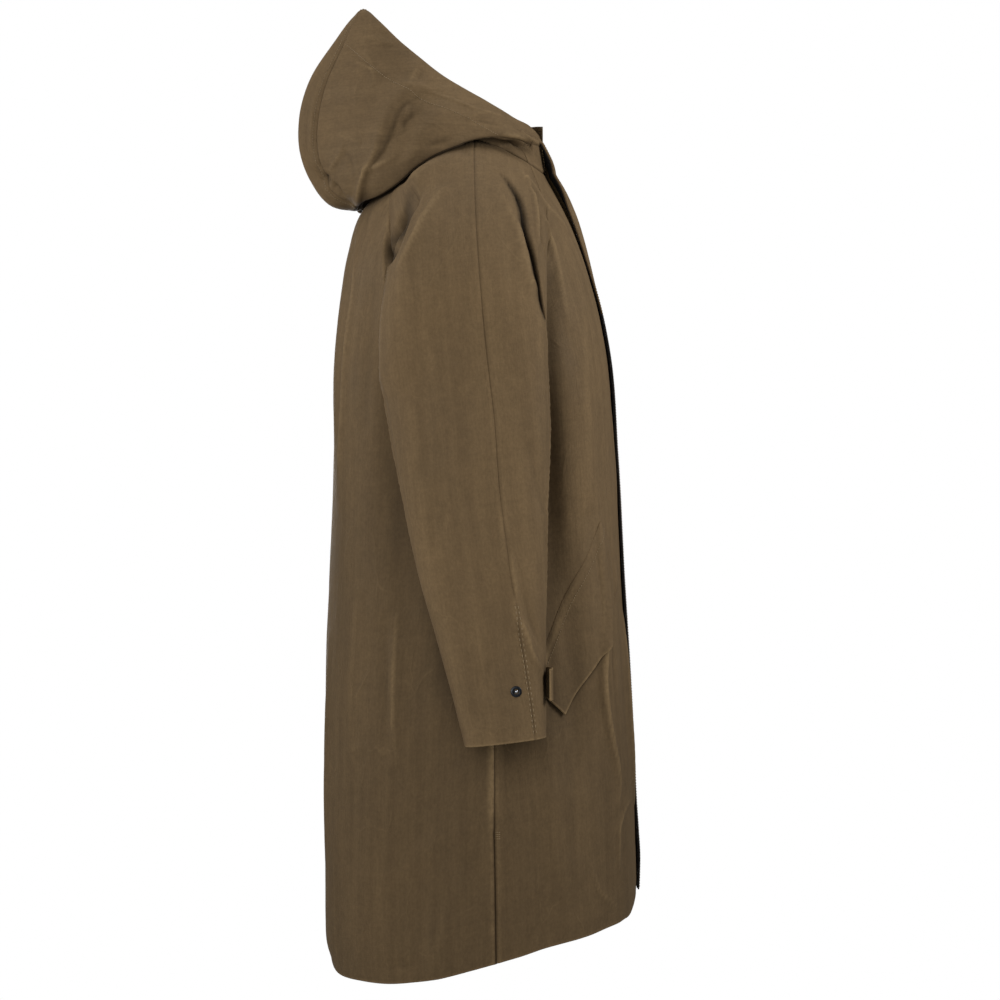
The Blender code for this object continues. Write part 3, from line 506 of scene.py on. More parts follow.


# Creases: soft ridges (height above 0) and troughs, laid along lines on the cloth; troughs and deep folds get
# painted shade, ridges are rubbed pale
# Each row: width, height and lap in mm, then the points of its line, which runs downward
# Lines seen from the right give (y, z), those from the back and front (x, z)
# A lap pushes the fold over sideways, above 0 to the back
creaseRows = {
    ("sleeve", "right"): (
        (5.2, -22, 0, (-21, -48), (-29, -58), (-35, -67), (-41, -76), (-46, -87), (-50, -103), (-54, -128),
         (-61, -158), (-70, -187), (-76, -222), (-82, -262)),
        (7, 3.5, -7, (-18, -70), (-26, -84), (-34, -104), (-41, -126), (-48, -152), (-58, -190),
         (-66, -222)),
        (4, 6, 0, (-45, -40), (-55, -53), (-63, -67), (-66, -84), (-68, -106), (-67, -123), (-69, -148)),
        (8.5, -6.5, 0, (-60, -62), (-68, -76), (-73, -92), (-75, -112), (-78, -136), (-83, -168)),
        (5.5, 2.6, 0, (-69, -84), (-78, -102), (-85, -119), (-88, -133), (-92, -156)),
        (15, -14, 0, (64, -66), (75, -80), (83, -95), (88, -108), (95, -126), (103, -146), (111, -168)),
        (15, -20, 0, (74, -70), (83, -86), (91, -104), (98, -122), (104, -141), (111, -162), (116, -182)),
        (9, 5, 3.5, (40, -72), (51, -96), (64, -118), (76, -141), (88, -161), (100, -184)),
        (2.4, 3, 0, (108, -160), (115, -196), (120, -226), (122, -258), (119, -296), (112, -345),
         (102, -394), (92, -443), (79, -516)),
        (2.4, 2.5, 0, (-70, -173), (-73, -198), (-78, -247), (-82, -310), (-83, -369), (-81, -443),
         (-79, -528), (-79, -614)),
        (22, 5, 0, (104, -190), (113, -235), (115, -280), (112, -330)),
        (24, 13, 0, (10, -30), (49, -44), (74, -60), (99, -74), (122, -88), (138, -98)),
        (4, 4.6, 0, (-37, -520), (-43, -565), (-46, -594), (-58, -619), (-62, -635), (-77, -668)),
        (6, -2.5, 0, (-54, -560), (-60, -592), (-67, -615), (-76, -640)),
        (13, -3.5, 0, (-58, -380), (-66, -425), (-76, -475)),
        (10, -2, 0, (-30, -640), (-16, -650), (-8, -672), (-10, -694)),
        (5, 1.3, 0, (5, -688), (-20, -697), (-44, -702)),
        (6, -1.3, 0, (12, -706), (-16, -716), (-40, -722)),
        (9, -3, 0, (-78, -660), (-80, -684), (-79, -708)),
        (16, 2.6, 0, (60, -300), (74, -350), (72, -420)),
        (14, -2.4, 0, (30, -430), (44, -470), (48, -520)),
        (22, -2.6, 0, (-10, -230), (14, -290), (22, -360)),
        (20, 2.4, 0, (40, -180), (52, -240), (54, -300)),
        (12, 1.6, 0, (-30, -420), (-28, -500), (-22, -580)),
        (13, 1.8, 0, (-4, -560), (6, -610), (4, -660)),
    ),
    ("sleeve", "back"): (
        (10, -13, 0, (-186, -96), (-194, -112), (-199, -130), (-202, -148), (-203, -166), (-203, -186)),
    ),
    ("yoke", "right"): (
        (10, 4.5, 0, (-42, -40), (-56, -53), (-74, -69), (-91, -90), (-104, -106), (-112, -118)),
        (9, 3.6, 0, (-78, -95), (-88, -127), (-95, -152), (-100, -176), (-104, -199), (-114, -250)),
    ),
    ("front", "right"): (
        (13, -12, 0, (-82, -165), (-86, -230), (-88, -300), (-88, -420), (-88, -540), (-88, -640),
         (-88, -740)),
        (20, 5, 0, (-126, -200), (-131, -290), (-134, -380), (-136, -470)),
        (28, -4, 0, (-112, -470), (-116, -560), (-118, -640), (-120, -720), (-124, -800)),
        (6.5, 9, 2.5, (-149, -470), (-151, -530), (-155, -575), (-157, -620), (-154, -650), (-153, -690),
         (-158, -722), (-165, -760), (-173, -810), (-171, -850)),
        (8, -3, 0, (-163, -500), (-168, -580), (-168, -660), (-172, -740)),
        (5, 3.6, 0, (-193, -834), (-178, -853), (-173, -868), (-174, -885), (-173, -908), (-176, -930)),
        (6, 2.6, 0, (-138, -905), (-150, -940), (-173, -966)),
        (14, -3, 0, (-110, -760), (-118, -830), (-116, -900)),
        (20, -2.6, 0, (-60, -780), (-66, -850), (-62, -930)),
        (18, 2.6, 0, (-90, -800), (-94, -870), (-104, -950)),
        (6, -2, 0, (-30, -700), (-31, -780), (-30, -860)),
    ),
    ("front", "front"): (
        (9, 7, 0, (-47, -590), (-48, -650), (-48, -730), (-47, -800), (-45, -850)),
        (8, 2, 0, (-46, -330), (-48, -400), (-46, -470)),
        (12, 3.5, 0, (70, -430), (74, -520), (70, -640)),
        (11, 3.5, 0, (96, -180), (104, -260), (100, -340)),
        (13, 2.5, 0, (52, -700), (60, -800), (54, -900)),
    ),
    ("back", "right"): (
        (5.5, 3, 0, (110, -100), (114, -120), (116, -144), (117, -168), (114, -205)),
        (5, 4.5, 2, (150, -90), (155, -183), (164, -263), (170, -342), (177, -430)),
        (14, -4, 0, (128, -180), (138, -280), (142, -380)),
        (20, -7, 0, (116, -250), (112, -310), (105, -360), (93, -445), (75, -530), (52, -625), (32, -700)),
        (6.5, 3.2, 0, (104, -590), (104, -660), (104, -702), (103, -790)),
        (7, -2.8, 0, (114, -590), (112, -680), (110, -780)),
        (16, -1.8, 0, (60, -740), (60, -800), (66, -850), (94, -905)),
        (12, 1.3, 0, (-6, -853), (23, -860), (49, -869), (90, -914)),
        (11, -1.3, 0, (-12, -916), (11, -906), (34, -896)),
        (3.5, 1.3, 0, (174, -773), (150, -766), (124, -760)),
        (5, 4, -3, (-14, -660), (-14, -720), (-14, -800), (-13, -862)),
        (14, 2.5, 0, (40, -960), (48, -1000), (58, -1046)),
        (7, -1.6, 0, (126, -1031), (97, -1030), (67, -1024)),
        (22, 3, 0, (150, -560), (156, -680), (152, -820)),
    ),
    ("back", "back"): (
        (16, 3, 0, (-20, -130), (-26, -240), (-22, -360)),
        (18, 4, 0, (40, -520), (46, -660), (38, -820)),
        (18, 4, 0, (-64, -620), (-70, -760), (-62, -930)),
        (20, -4, 0, (2, -700), (-4, -820), (6, -980)),
    ),
    ("hood", "right"): (
        (9, -9, 0, (70, 66), (80, 52), (95, 43), (108, 18), (121, -10), (141, -36)),
        (5, -4.5, 0, (80, 46), (88, 30), (92, 20), (95, 4)),
        (3.5, 2.5, 0, (80, 52), (92, 34), (98, 19), (104, 3)),
        (2.8, 2.4, 0, (169, 110), (155, 103), (140, 95), (121, 84)),
        (2.6, -1.8, 0, (171, 118), (156, 110), (131, 91)),
        (3.2, 1.8, 0, (149, 138), (128, 132), (110, 124)),
        (2.6, 2.2, 0, (80, 69), (60, 59), (44, 53), (26, 46), (12, 41), (-16, 34)),
        (3.4, 2.6, 0, (72, 14), (80, -15), (87, -33)),
        (3.4, -3.4, 0, (67, -11), (50, -6), (35, -4)),
        (3.2, -2.6, 0, (208, -43), (199, -38), (190, -34)),
        (3, 2, 0, (206, -54), (197, -52), (188, -48)),
        (4, 2.2, 0, (17, 22), (1, 33), (-34, 31)),
        (2.6, 2, 0, (213, 72), (217, 44), (219, 14), (218, -12)),
        (4.5, 6.5, -2, (110, 36), (130, -10), (143, -38), (153, -62), (158, -82)),
        (4.5, 3.6, 0, (146, -39), (128, -33), (99, -21)),
        (7, -3, 0, (138, -52), (120, -46), (104, -40)),
        (4, 3, 0, (196, -38), (186, -24), (172, -7)),
        (7, -5, 0, (212, -22), (204, -36), (190, -46)),
        (5, -5.5, 0, (190, -48), (181, -58), (173, -66)),
        (3.5, 3.2, 0, (80, 100), (83, 85), (87, 67)),
        (3.5, -3, 0, (73, 92), (78, 82), (85, 70)),
        (5, -2.2, 0, (12, 26), (-4, 23), (-24, 20)),
        (6, 2.8, 0, (68, -16), (45, -11), (20, -4)),
        (3.2, 2.8, 0, (-43, 26), (-57, 15), (-66, 10), (-77, 3)),
        (3.5, -2.4, 0, (-40, 22), (-54, 17), (-74, 10)),
        (6, -11, 0, (-14, -8), (-34, -3), (-48, -2), (-60, -1), (-70, 0)),
        (15, -4, 0, (-24, -14), (-42, -11), (-58, -9), (-76, -9)),
        (5, 4, 0, (-16, 8), (-36, 9), (-52, 7), (-64, 5)),
        (8, 2, 0, (150, 120), (138, 96), (132, 70)),
        (6, -1.6, 0, (190, 60), (176, 50), (158, 46)),
        (8, 2, 0, (178, 10), (160, 2), (148, -4)),
        (9, -3, 0, (176, -8), (164, -22), (160, -40)),
    ),
}
creasePanels = {  # starts of the names of the panels that each group lies on
    "sleeve": ("sleeve", "front", "back"),
    "yoke": ("front", "sleeve_front"),
    "front": ("front",),
    "back": ("back",),
    "hood": ("hood",),
}
creaseForm = {
    "nearer": 0.02,  # how much more an outer layer counts, for each mm that it is further out
    "step": 3.0,
    "ends": 0.55,  # how bluntly a crease ends
    "shoulder": 1.7,  # power of its rounded section
    "deepFrom": -15.0,  # a deeper fold goes straight in, as a pocket, with dark painted shade
    "deepDark": -2.5,
    "deepBroad": 12.0,
    "deepCrest": 0.75,
    "fullRub": 5.0,  # height from which a ridge is rubbed in full, and a trough gets its full painted shade
    "broad": 8.0,  # a broader fold gets less rubbing and less painted shade
    "crest": 0.35,
    "crestLeast": 0.8,
    "leftMoved": (4, 9),  # mm by which the left side's creases differ
}
viewAxes = {  # for each side: the two axes of its view, the axis of depth and the sign of the near side
    "right": ((1, 2), 0, -1), "left": ((1, 2), 0, 1), "front": ((0, 2), 1, -1), "back": ((0, 2), 1, 1),
}


def lineOn(panels, seenFrom, places):  # the crease's line in space: the nearest cloth seen from that side
    axes, depth, sign = viewAxes[seenFrom]
    cloud = np.concatenate([panel["points"].reshape(-1, 3) for panel in panels])
    cloud = cloud[cloud[:, depth] * sign > 0]
    found = []
    for place in places:
        away = np.linalg.norm(cloud[:, axes] - np.array(place, float), axis=1)
        facing = away - creaseForm["nearer"] * cloud[:, depth] * sign
        found.append(tuple(cloud[facing.argmin()]))
    found = list(dict.fromkeys(found))
    length = runLength(np.array(found))[-1]
    return along(found, np.linspace(0, 1, max(int(length / creaseForm["step"]), 8)))


def layCrease(panels, seenFrom, line, width, rise, lap):
    _, depth, sign = viewAxes[seenFrom]
    outward = sign * np.eye(3)[depth]
    deep = rise < creaseForm["deepFrom"]
    crestWidth = creaseForm["deepCrest" if deep else "crest"] * width + creaseForm["crestLeast"]
    # above 0 a ridge is rubbed pale; in a trough, and in a deep fold, the value is below 0 and is painted
    # shade
    rubbed = np.clip(rise / creaseForm["fullRub"], -1, 1) * min(1, creaseForm["broad"] / width)
    dark = creaseForm["deepDark"] * min(1, creaseForm["deepBroad"] / width)
    low, high = line.min(axis=0) - 3 * width, line.max(axis=0) + 3 * width
    run = unit(np.gradient(line, axis=0))
    for panel in panels:
        points = panel["points"]
        near = np.all((points > low) & (points < high), axis=-1)
        if not near.any():
            continue
        away = np.linalg.norm(points[near][:, None] - line[None], axis=2)
        nearest, away = away.argmin(axis=1), away.min(axis=1)
        fade = np.abs(np.sin(np.pi * nearest / (len(line) - 1))) ** creaseForm["ends"]
        form = rise * fade * np.exp(-((away / width) ** creaseForm["shoulder"]))
        if deep:
            panel["shift"][near] += form[:, None] * outward
        else:
            panel["height"][near] += form
        sideways = unit(np.cross(run[nearest], panel["normals"][near]))
        panel["shift"][near] += sideways * (lap * fade * bell(away, width))[:, None]
        # rubbed pale on ridges, painted shade in troughs and deep folds
        panel["wearAndShade"][near] += (dark if deep else rubbed) * fade * bell(away, crestWidth)


def addCreases(panels, group):
    draw = np.random.default_rng(len(group))
    for (ofGroup, seenFrom), rows in creaseRows.items():
        for width, rise, lap, *places in rows if ofGroup == group else ():
            layCrease(panels, seenFrom, lineOn(panels, seenFrom, places), width, rise, lap)
            if seenFrom == "right":  # the left side hangs in much the same way, a little differently
                moved = np.array(places, float) + draw.normal(0, 1, 2) * creaseForm["leftMoved"]
                share = draw.uniform(0.7, 1.05)
                broad = width * draw.uniform(0.9, 1.2)
                layCrease(panels, "left", lineOn(panels, "left", moved), broad, rise * share, -lap * share)


# Soft unevenness of the whole coat: size of the waves in mm, their height and a seed
softness = (((75, 75, 320), 2.2, 11), ((40, 40, 90), 0.9, 12), ((15, 15, 24), 0.2, 13))
softShare = {"hood": 0.75, "fly": 0.25}  # of the waves on the rest of the coat


def soften(panel, share):
    for size, rise, seed in softness:
        panel["height"] += share * rise * drift(panel["points"], size, seed)


# Materials


def linear(hexColour):
    parts = [int(hexColour[k:k + 2], 16) / 255 for k in (1, 3, 5)]
    return tuple(c / 12.92 if c <= 0.04045 else ((c + 0.055) / 1.055) ** 2.4 for c in parts) + (1.0,)


def addNode(tree, kind, settings=(), inputs=()):
    made = tree.nodes.new(kind)
    for name, value in dict(settings).items():
        setattr(made, name, value)
    for name, value in dict(inputs).items():
        socket = made.inputs[name]
        if isinstance(value, bpy.types.NodeSocket):
            tree.links.new(value, socket)
        else:
            socket.default_value = value
    return made


def newMaterial(name):
    material = bpy.data.materials.new(name)
    material.use_nodes = True
    return material, material.node_tree, material.node_tree.nodes["Principled BSDF"]


# Dry waxed cotton: a close plain weave with soft upright streaks in the warp,
# and chalky lines where the wax has cracked on folds; painted shade darkens it in hemmed-in places, troughs
# and seams
cottonLook = {
    "shade": "#5f4d36",
    "middle": "#635139",
    "middleShare": 0.35,
    "light": "#68553c",
    "worn": "#8a7352",
    # the colour of the painted shade in troughs, deep folds and seam grooves
    "deep": "#1d170f",
    "crack": 58.0,  # mm between the fine pale lines
    # marks on the cut piece: mm across the warp, mm along it, detail, and a seed that moves the pattern
    # slubs, picks and threads are drawn coarse enough to show; the yarn itself is about 0.5 mm
    "marks": {
        "streak": (15.0, 260.0, 3.0, 3.1),
        "slub": (2.8, 60.0, 2.0, 7.7),
        "pick": (18.0, 2.4, 2.0, 11.3),
        "cloud": (95.0, 152.0, 3.0, 17.9),
        "fleck": (3.2, 4.8, 2.0, 37.3),
        "mottle": (13.0, 15.6, 3.0, 61.7),
        "crackPlace": (58.0, 58.0, 2.0, 53.1),
        "warp": (1.5, 7.5, 1.0, 23.0),
        "weft": (7.5, 1.5, 1.0, 29.0),
    },
    # what is read from a mark: the mark, its low and high end, and the values given there
    "gives": {
        "streakLight": ("streak", 0.32, 0.70, 0.0, 1.0),
        "slubTone": ("slub", 0.25, 0.75, 0.965, 1.035),
        "pickTone": ("pick", 0.25, 0.75, 0.98, 1.02),
        "fleckTone": ("fleck", 0.25, 0.75, 0.92, 1.08),
        "mottleTone": ("mottle", 0.25, 0.75, 0.93, 1.07),
        "cloudTone": ("cloud", 0.3, 0.7, 0.93, 1.06),
        # painted shade where other cloth hems this cloth in
        "shadeTone": ("shade", 0.04, 0.7, 1.0, 0.3),
        "rubbed": ("wearAndShade", 0.1, 1.0, 0.0, 0.5),
        "rubbedFleck": ("fleck", 0.3, 0.65, 0.7, 1.15),
        "crackShows": ("crackPlace", 0.50, 0.62, 0.0, 1.0),  # only short lengths show
        "crackLine": ("crackEdge", 0.004, 0.02, 0.07, 0.0),
        "crinkle": ("crackEdge", 0.0, 0.06, 1.0, 0.0),
        # painted shade in troughs, deep folds and seam grooves, toward the deep colour
        "sunkShade": ("wearAndShade", -0.1, -2.0, 0.0, 0.92),
        "roughness": ("cloud", 0.3, 0.7, 0.72, 0.84),
    },
    # how they are joined: name, operation, and the two that it joins
    "joins": (
        ("tone", "MULTIPLY", "slubTone", "pickTone"),
        ("tone", "MULTIPLY", "tone", "fleckTone"),
        ("tone", "MULTIPLY", "tone", "mottleTone"),
        ("tone", "MULTIPLY", "tone", "cloudTone"),
        ("tone", "MULTIPLY", "tone", "shadeTone"),
        ("rubbed", "MULTIPLY", "rubbed", "rubbedFleck"),
        ("crackLine", "MULTIPLY", "crackLine", "crackShows"),
        ("crinkle", "MULTIPLY", "crinkle", "crackShows"),
        ("pale", "MAXIMUM", "rubbed", "crackLine"),
        ("weave", "ADD", "warp", "weft"),
        ("slubRise", "MULTIPLY", "slub", 1.6),
        ("weave", "ADD", "weave", "slubRise"),
        ("mottleRise", "MULTIPLY", "mottle", 0.6),
        ("crumple", "ADD", "mottleRise", "crinkle"),  # small crinkles under the pale lines
    ),
}


def waxedCotton():
    material, tree, shader = newMaterial("waxed_cotton")
    look = cottonLook
    flat = addNode(tree, "ShaderNodeUVMap", {"uv_map": "cut"}).outputs["UV"]
    value = {}
    for name in ("shade", "wearAndShade"):
        value[name] = addNode(tree, "ShaderNodeAttribute", {"attribute_name": name}).outputs["Fac"]
    for name, (across, length, detail, seed) in look["marks"].items():
        place = {"Vector": flat, "Scale": (1000 / across, 1000 / length, 1.0), "Location": (seed, seed, 0)}
        place = addNode(tree, "ShaderNodeMapping", (), place).outputs["Vector"]
        noise = {"Vector": place, "Scale": 1.0, "Detail": detail, "Roughness": 0.6}
        value[name] = addNode(tree, "ShaderNodeTexNoise", {"noise_dimensions": "2D"}, noise).outputs["Fac"]
    # cracks run along the edges of uneven cells, which are longer down the cloth and bent a little
    scale = (1000 / look["crack"], 600 / look["crack"], 1.0)
    place = addNode(tree, "ShaderNodeMapping", (), {"Vector": flat, "Scale": scale}).outputs["Vector"]
    noise = {"Vector": place, "Scale": 1.6, "Detail": 2.0}
    bend = addNode(tree, "ShaderNodeTexNoise", {"noise_dimensions": "2D"}, noise).outputs["Color"]
    bend = addNode(tree, "ShaderNodeVectorMath", {"operation": "SCALE"}, {0: bend, "Scale": 0.45})
    place = addNode(tree, "ShaderNodeVectorMath", (), {0: place, 1: bend.outputs["Vector"]}).outputs["Vector"]
    cells = {"voronoi_dimensions": "2D", "feature": "DISTANCE_TO_EDGE"}
    cells = addNode(tree, "ShaderNodeTexVoronoi", cells, {"Vector": place, "Scale": 1.0})
    value["crackEdge"] = cells.outputs["Distance"]
    for name, (mark, low, high, atLow, atHigh) in look["gives"].items():
        ends = {"Value": value[mark], "From Min": low, "From Max": high, "To Min": atLow, "To Max": atHigh}
        value[name] = addNode(tree, "ShaderNodeMapRange", (), ends).outputs["Result"]
    for name, operation, first, second in look["joins"]:
        both = {0: value[first], 1: value.get(second, second)}
        value[name] = addNode(tree, "ShaderNodeMath", {"operation": operation}, both).outputs["Value"]
    tones = {channel: value["tone"] for channel in ("Red", "Green", "Blue")}
    grey = addNode(tree, "ShaderNodeCombineColor", (), tones).outputs["Color"]
    colour = linear(look["shade"])
    for blend, share, over in (
        ("MIX", value["streakLight"], linear(look["light"])),
        ("MIX", look["middleShare"], linear(look["middle"])),
        # the tone carries the painted shade as well as the cloth's own unevenness
        ("MULTIPLY", 1.0, grey),
        ("MIX", value["pale"], linear(look["worn"])),
        # painted shade: sunk places go toward the deep colour
        ("MIX", value["sunkShade"], linear(look["deep"])),
    ):
        settings = {"data_type": "RGBA", "blend_type": blend}
        colour = addNode(tree, "ShaderNodeMix", settings, {0: share, 6: colour, 7: over}).outputs[2]
    tree.links.new(colour, shader.inputs["Base Color"])
    tree.links.new(value["roughness"], shader.inputs["Roughness"])
    shader.inputs["IOR"].default_value = 1.46
    shader.inputs["Specular IOR Level"].default_value = 0.12  # most of the shine is lost between the fibres
    shader.inputs["Sheen Weight"].default_value = 0.02
    shader.inputs["Sheen Roughness"].default_value = 0.45
    shader.inputs["Sheen Tint"].default_value = linear(look["worn"])
    weave = {"Height": value["weave"], "Strength": 0.25, "Distance": 0.0004}
    weave = addNode(tree, "ShaderNodeBump", (), weave).outputs["Normal"]
    crumple = {"Height": value["crumple"], "Strength": 0.4, "Distance": 0.0008, "Normal": weave}
    bump = addNode(tree, "ShaderNodeBump", (), crumple)
    tree.links.new(bump.outputs["Normal"], shader.inputs["Normal"])
    return material


def mottle(tree, shader, place, scale, detail, dark, light):  # two close tones, finely mottled
    noise = {"Vector": place, "Scale": scale, "Detail": detail}
    noise = addNode(tree, "ShaderNodeTexNoise", (), noise).outputs["Fac"]
    tones = {0: noise, 6: linear(dark), 7: linear(light)}
    mix = addNode(tree, "ShaderNodeMix", {"data_type": "RGBA"}, tones)
    tree.links.new(mix.outputs[2], shader.inputs["Base Color"])


# Black cotton twill: matt, close and dark, with a fine diagonal rib
def blackTwill():
    material, tree, shader = newMaterial("black_cotton_twill")
    flat = addNode(tree, "ShaderNodeUVMap", {"uv_map": "cut"}).outputs["UV"]
    turned = addNode(tree, "ShaderNodeMapping", (), {"Vector": flat, "Rotation": (0, 0, math.radians(45))})
    ribs = {"Vector": turned.outputs["Vector"], "Scale": 160.0, "Distortion": 1.5}  # ribs 2 mm apart
    ribs = addNode(tree, "ShaderNodeTexWave", (), ribs).outputs["Fac"]
    mottle(tree, shader, flat, 60.0, 3.0, "#14110f", "#231d19")
    shader.inputs["Roughness"].default_value = 0.85
    bump = addNode(tree, "ShaderNodeBump", (), {"Height": ribs, "Strength": 0.3, "Distance": 0.0003})
    tree.links.new(bump.outputs["Normal"], shader.inputs["Normal"])
    return material


# Thread and metal are mottled by place: spun polyester is a shade lighter than the cloth and a little glossy,
# and the brass of a press stud is smooth, either lacquered near black or nickelled
def mottledMaterial(name, scale, detail, dark, light, roughness, metallic):
    material, tree, shader = newMaterial(name)
    place = addNode(tree, "ShaderNodeTexCoord").outputs["Object"]
    mottle(tree, shader, place, scale, detail, dark, light)
    shader.inputs["Roughness"].default_value = roughness
    shader.inputs["Metallic"].default_value = metallic
    return material


paints = {
    "cotton": waxedCotton(),
    "twill": blackTwill(),
    "thread": mottledMaterial("spun_polyester_thread", 900.0, 2.0, "#66543a", "#87724f", 0.55, 0.0),
    "studBlack": mottledMaterial("black_lacquered_brass", 700.0, 3.0, "#0d0f12", "#1b1f25", 0.35, 0.5),
    "studBright": mottledMaterial("nickelled_brass", 700.0, 3.0, "#9a9da3", "#c9ccd1", 0.25, 1.0),
}
print("materials made:", len(paints))

# From a panel to a mesh


def flatPlaces(panel):  # where each point lies on the cut piece, in metres
    points = panel["points"]
    if "flat" in panel:
        return panel["flat"] * mm
    across = np.linalg.norm(np.diff(points, axis=1), axis=2)
    down = np.linalg.norm(np.diff(points, axis=0), axis=2)
    u = np.insert(np.cumsum(across, axis=1), 0, 0, axis=1)
    u = u - u[:, [panel.get("middleColumn", 0)]]
    v = np.insert(np.cumsum(down, axis=0), 0, 0, axis=0)
    v = v - v[[panel.get("baseRow", 0)]]
    return np.stack([u, v], -1) * mm


def gridFaces(rows, columns, turned):
    corner = (np.arange(rows - 1)[:, None] * columns + np.arange(columns - 1)).reshape(-1)
    quads = np.stack([corner, corner + columns, corner + columns + 1, corner + 1], -1)
    return quads[:, ::-1] if turned else quads


def newMesh(name, points, faces, material):
    mesh = bpy.data.meshes.new(name)
    mesh.from_pydata(points.tolist(), [], faces)
    mesh.materials.append(material)
    mesh.shade_smooth()
    piece = bpy.data.objects.new(name, mesh)
    bpy.context.scene.collection.objects.link(piece)
    return piece


def applyModifiers(piece):
    bpy.context.view_layer.objects.active = piece
    piece.select_set(True)
    for modifier in list(piece.modifiers):
        bpy.ops.object.modifier_apply(modifier=modifier.name)
    piece.select_set(False)


wearLimits = (-2, 1)  # from sunk and dark with painted shade to rubbed and pale


def sew(panel, node, wall, paint="cotton"):  # the finished piece of cloth
    rows, columns = panel["points"].shape[:2]
    faces = gridFaces(rows, columns, not panel["turned"])
    piece = newMesh(node + "_cloth", surface(panel).reshape(-1, 3) * mm, faces.tolist(), paints[paint])
    flat = flatPlaces(panel).reshape(-1, 2)
    cut = piece.data.uv_layers.new(name="cut")
    cut.data.foreach_set("uv", flat[faces.reshape(-1)].astype(np.float32).ravel())
    # rubbed and pale above 0, painted shade below it
    wearAndShade = piece.data.attributes.new("wearAndShade", "FLOAT", "POINT")
    wearAndShade.data.foreach_set("value", np.clip(panel["wearAndShade"], *wearLimits).astype(np.float32).ravel())
    thick = piece.modifiers.new("wall", "SOLIDIFY")
    thick.thickness, thick.offset = wall * mm, -1  # grows outward, as the faces look in
    panel["wall"] = wall
    applyModifiers(piece)
    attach(piece, "root")
    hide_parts(node)
    panel["piece"] = piece
    return piece


# Painted shade: cloth that other cloth hems in is painted darker; rays go out from each point, and near hits
# count
shadeRays = {
    "count": 14,
    "reach": 140.0,
    "start": 1.5,
    "turn": 2.39996,  # golden angle, from one ray to the next
    "slant": (0.31, 0.57, 0.76),  # any slanted way, to find one across the cloth
    "floorLit": (-680.0, -760.0),  # between these heights less painted shade is laid, as if light came in from the floor
    "floorShare": 0.5,
    "hem": 0.26,  # painted shade laid over the body, growing darker towards the bottom; the sleeves and hood get none of it
    "frontShadeRamp": (-450.0, -800.0),
    "backShadeRamp": (-60.0, -520.0),
}


def addShade(names):
    tree = clothTree(panels)
    draw = np.random.default_rng(41)
    k = (np.arange(shadeRays["count"]) + 0.5) / shadeRays["count"]
    spread, lift, golden = np.sqrt(k), np.sqrt(1 - k), np.arange(shadeRays["count"]) * shadeRays["turn"]
    for name in names:
        panel = panels[name]
        grid = surface(panel)
        normals = unit(np.cross(np.gradient(grid, axis=0), np.gradient(grid, axis=1)))
        normals = -normals if panel["turned"] else normals
        across = unit(np.cross(normals, shadeRays["slant"]))
        other = np.cross(normals, across)
        turn = golden + draw.uniform(0, 6.28, grid.shape[:2] + (1,))
        ways = (spread * np.cos(turn))[..., None] * across[..., None, :]
        ways = ways + (spread * np.sin(turn))[..., None] * other[..., None, :]
        ways = ways + lift[:, None] * normals[..., None, :]
        starts = (grid + shadeRays["start"] * normals).reshape(-1, 3).tolist()
        shade = []
        for start, fan in zip(starts, ways.reshape(len(starts), -1, 3).tolist()):
            hits = [tree.ray_cast(start, way, shadeRays["reach"])[3] for way in fan]
            shade.append(sum(1 - hit / shadeRays["reach"] for hit in hits if hit is not None))
        shade = np.pad(np.array(shade).reshape(grid.shape[:2]) / shadeRays["count"], 1, mode="edge")
        shade = (shade[:-2] + 2 * shade[1:-1] + shade[2:]) / 4
        shade = (shade[:, :-2] + 2 * shade[:, 1:-1] + shade[:, 2:]) / 4
        # front and back: less painted shade between the floor heights, and more painted shade growing towards
        # the bottom
        if name.startswith(("front", "back", "pocket")):
            shade *= 1 - shadeRays["floorShare"] * ease(*shadeRays["floorLit"], grid[..., 2])
            fade = shadeRays["backShadeRamp" if name == "back" else "frontShadeRamp"]
            shade = shade + shadeRays["hem"] * ease(*fade, grid[..., 2])
        # the painted shade goes to the material as the shade attribute
        kept = panel["piece"].data.attributes.new("shade", "FLOAT", "POINT")
        kept.data.foreach_set("value", np.resize(shade.ravel(), len(kept.data)).astype(np.float32))


def cutArea(panel):
    points = panel["points"] * mm
    first, second = points[1:, 1:] - points[:-1, :-1], points[1:, :-1] - points[:-1, 1:]
    return float(np.linalg.norm(np.cross(first, second), axis=2).sum() / 2)


def declare(panel, extras):  # the size that the piece was cut to
    across = np.linalg.norm(np.diff(panel["points"], axis=1), axis=2).sum(axis=1).max() * mm
    down = np.linalg.norm(np.diff(panel["points"], axis=0), axis=2).sum(axis=0).max() * mm
    flat = (round(float(across), 3), round(float(down), 3))
    area = min(cutArea(panel), flat[0] * flat[1])
    area, extras = round(area, 4), list(extras)


# Build the panels
panels, bodies, sleeves = {}, {}, {}
insides = {  # a point inside each, to tell which way is out
    "sleeve": (273, 0, -445), "tab": (281, -30, -685), "body": (0, 0, -500), "flap": (0, 0, -650),
    "hood": (0, 80, 40), "stand": (0, 0, 200),
}
zipColumns = np.array([coatBody["zipGap"], 3.0, 6.0, 9.0])
frontAcross = np.concatenate([np.zeros(len(zipColumns)), frontSteps])
frontFrom = np.concatenate([zipColumns, np.full(len(frontSteps), coatBody["collarFrom"])])


def insideOf(piece, side):
    x, y, z = insides[piece]
    return (sides[side] * x, y, z)


